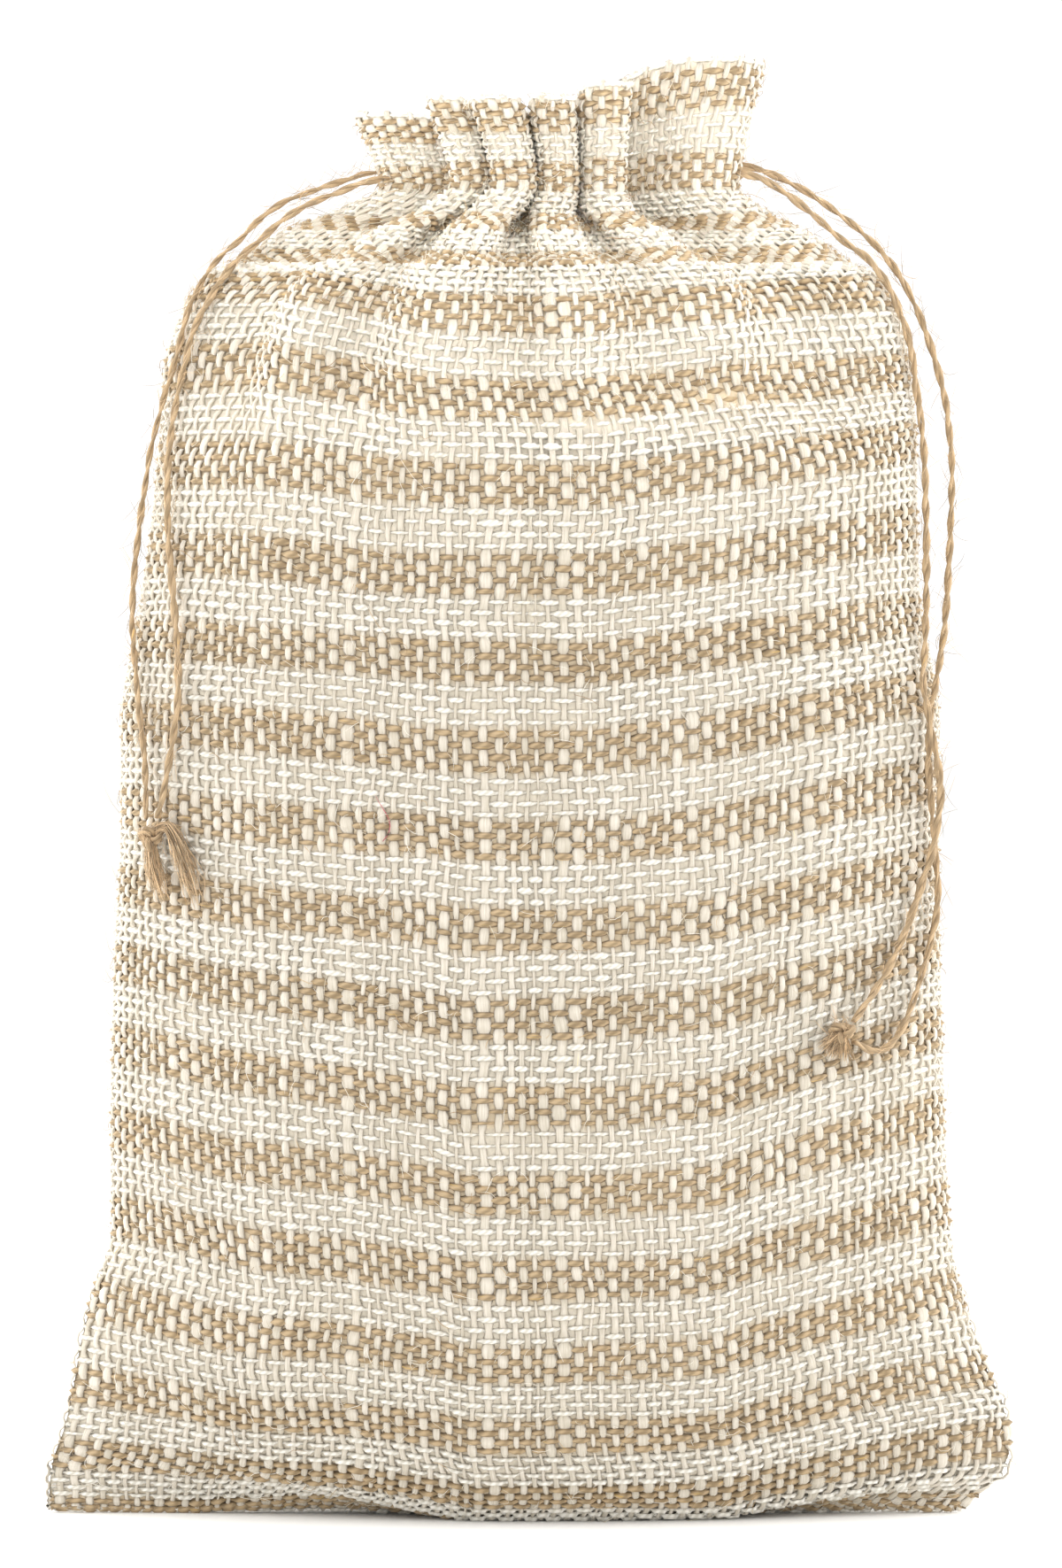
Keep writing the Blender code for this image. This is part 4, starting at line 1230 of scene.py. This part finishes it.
FIBRE_ARCH = 1.7
FIBRE_FALL = (0.6, 1.9)
CLOTH_TONES = 90
# One dyed fibre lies here, along the warp and round the sack, over this much of both.
RED_FIBRE = (162.0, 71.5)
RED_FIBRE_SPAN = (9.0, 1.6)
RED_FIBRE_CURVE = 4.2    # in radians
RED_FIBRE_HEIGHT = 0.75  # at one end, and how much higher at the other
RED_FIBRE_RISE = 0.3
RED_FIBRE_RADIUS = 0.13
RED_FIBRE_POINTS = 9


def fibre_places(random, count, warps):
    """Where loose fibres leave the cloth, up the warp and round it, and which of them are
    at the gathers."""
    threads = weave()
    around = random.uniform(0, GIRTH, count)
    column = (around * warps / GIRTH).astype(int) % warps
    on_tan = threads.along[random.choice(np.flatnonzero(threads.tan), count), column]
    along = np.where(random.uniform(size=count) < TAN_SHARE, on_tan,
                     random.uniform(FREE_FROM, CLOTH_TOP, count))
    at_neck = random.uniform(size=count) < NECK_SHARE
    along = np.where(at_neck, random.triangular(*GATHERS, count), along)
    along = along + random.normal(0, FIBRE_STRAY, count)
    return np.clip(along, FIBRES_FROM, CLOTH_TOP), around, at_neck


def fibre_paths(random, along, around):
    """Curved paths of loose fibres that start at these places and arch off the cloth."""
    count = len(along)
    length = random.uniform(*FIBRE_LENGTHS, count)
    length = np.where(random.uniform(size=count) < LONG_SHARE,
                      random.uniform(FIBRE_LENGTHS[1], LONGEST, count), length)
    share = np.linspace(0, 1, FIBRE_POINTS)
    bend = (random.uniform(0, 2 * np.pi, count)[:, None]
            + random.normal(0, FIBRE_BEND, count)[:, None] * share)
    step = (length / (FIBRE_POINTS - 1))[:, None]
    up = along[:, None] + np.cumsum(step * np.sin(bend), 1) - step * np.sin(bend[:, :1])
    side = around[:, None] + np.cumsum(step * np.cos(bend), 1) - step * np.cos(bend[:, :1])
    rise = random.uniform(*FIBRE_RISE, count)[:, None] * length[:, None] ** FIBRE_RISE_POWER
    height = FIBRE_ROOT + rise * share * (
        FIBRE_ARCH - share * random.uniform(*FIBRE_FALL, count)[:, None])
    return sack_cloth().at(np.clip(up, FIBRES_FROM, CLOTH_TOP), side, height)[0]


def red_fibre_path():
    """Path of the one dyed fibre."""
    share = np.linspace(0, 1, RED_FIBRE_POINTS)
    return sack_cloth().at(RED_FIBRE[0] + RED_FIBRE_SPAN[0] * (share - 0.5),
                           RED_FIBRE[1] + RED_FIBRE_SPAN[1] * np.sin(RED_FIBRE_CURVE * share),
                           RED_FIBRE_HEIGHT + RED_FIBRE_RISE * share)[0]


class SACK_OT_stray_fibres(Operator):
    """Scatter the loose fibres that stand off the cloth"""

    bl_idname = "sack.stray_fibres"
    bl_label = "Stray fibres"

    def execute(self, context):
        settings = context.scene.sack_cloth_settings
        random = np.random.default_rng(SEED + 2)
        count = settings.stray_fibres
        along, around, at_neck = fibre_places(random, count, settings.warps)
        paths = fibre_paths(random, along, around)
        radius = random.uniform(*FIBRE_RADII, count)
        brown = random.uniform(size=count) < np.where(at_neck, BROWN_SHARES[1], BROWN_SHARES[0])
        dyed = spun_yarn("loose_dyed_fibre", linear("#A84A50"), linear("#CB7D80"),
                         linear("#B86468"))
        sack_piece("red_fibre", fibre_tubes(red_fibre_path()[None],
                                            np.array([RED_FIBRE_RADIUS]), np.zeros(1)),
                   dyed)
        for name, chosen, material in (
                ("cream_fibres", ~brown, spun_yarn(
                    "loose_bleached_fibre", linear("#D8CDB4"), linear("#FBF7EC"),
                    linear("#E2C88E"))),
                ("straw_fibres", brown, spun_yarn(
                    "loose_natural_fibre", linear("#9C7748"), linear("#CFAF7C"),
                    linear("#E0BE60")))):
            sack_piece(name, fibre_tubes(paths[chosen], radius[chosen],
                                         random.uniform(0, CLOTH_TONES, chosen.sum())),
                       material)
        return {"FINISHED"}


GROUND_DEPTH = 0.4       # behind the middle of the threads
GROUND_COLUMNS = 240
GROUND_STEP = 6.0        # between its rows,
GATHERS_FROM = 260.0     # which lie closer from here up the warp
GROUND_CLOSER = 0.55     # share of its depth that it loses in the hem


class SACK_OT_ground_cloth(Operator):
    """Make the cloth that shows between the threads, with the shade of the gaps painted in"""

    bl_idname = "sack.ground_cloth"
    bl_label = "Ground cloth"

    def execute(self, context):
        settings = context.scene.sack_cloth_settings
        cloth = sack_cloth()
        # Undersides of the jute yarns, seen through the weave, with the shade of the gaps painted
        # in: dull, soft and painted darker than the yarns that lie over them.
        undersides = yarn_undersides_and_shade("burlap_undersides", settings.ground_colour,
                                     settings.tan_ground_colour)
        along = np.unique(np.concatenate([np.arange(0, GATHERS_FROM, GROUND_STEP),
                                          cloth.places[cloth.places >= GATHERS_FROM]]))
        around = np.arange(GROUND_COLUMNS) * GIRTH / GROUND_COLUMNS
        behind = GROUND_DEPTH * (1 - GROUND_CLOSER * eased((along - HEM_START) / HEM_PARTING))
        points, _ = cloth.at(along[:, None], around[None], -behind[:, None])
        index = np.arange(points[..., 0].size).reshape(points.shape[:2])
        after = np.roll(index, -1, 1)
        faces = [np.stack([index[:-1], after[:-1], after[1:], index[1:]], -1).reshape(-1, 4)]
        threads = weave()
        columns = (around * settings.warps / GIRTH).astype(int)
        row = np.stack([np.interp(along, threads.along[:, column], threads.number)
                        for column in columns], 1)
        values = np.stack([np.broadcast_to(along[:, None], index.shape),
                           np.broadcast_to(around[None], index.shape), row], -1)
        ground = sack_piece("sack_ground", (points, faces, values), undersides)
        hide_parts("sack_cloth")
        return {"FINISHED"}


class SACK_PT_panel(Panel):
    """Builds the sack piece by piece"""

    bl_idname = "SACK_PT_panel"
    bl_label = "Burlap sack"
    bl_space_type = "VIEW_3D"
    bl_region_type = "UI"
    bl_category = "Burlap sack"

    def draw(self, context):
        for settings in (context.scene.sack_stage_settings, context.scene.sack_twine_settings,
                         context.scene.sack_cloth_settings):
            box = self.layout.box()
            for name in settings.__annotations__:
                box.prop(settings, name)
        for operator in OPERATORS:
            self.layout.operator(operator.bl_idname)


SETTINGS = {"sack_stage_settings": SackStageSettings, "sack_twine_settings": SackTwineSettings,
            "sack_cloth_settings": SackClothSettings}
# In the order of making: the camera and the cords come first.
OPERATORS = (SACK_OT_stage, SACK_OT_ties, SACK_OT_warp, SACK_OT_weft, SACK_OT_stray_fibres,
             SACK_OT_ground_cloth)


def register():
    for cls in (*SETTINGS.values(), *OPERATORS, SACK_PT_panel):
        bpy.utils.register_class(cls)
    for name, group in SETTINGS.items():
        setattr(bpy.types.Scene, name, PointerProperty(type=group))


def unregister():
    for name in SETTINGS:
        delattr(bpy.types.Scene, name)
    for cls in reversed((*SETTINGS.values(), *OPERATORS, SACK_PT_panel)):
        bpy.utils.unregister_class(cls)


def main():
    register()
    for operator in OPERATORS:
        group, name = operator.bl_idname.split(".")
        getattr(getattr(bpy.ops, group), name)()


if __name__ == "__main__":
    main()
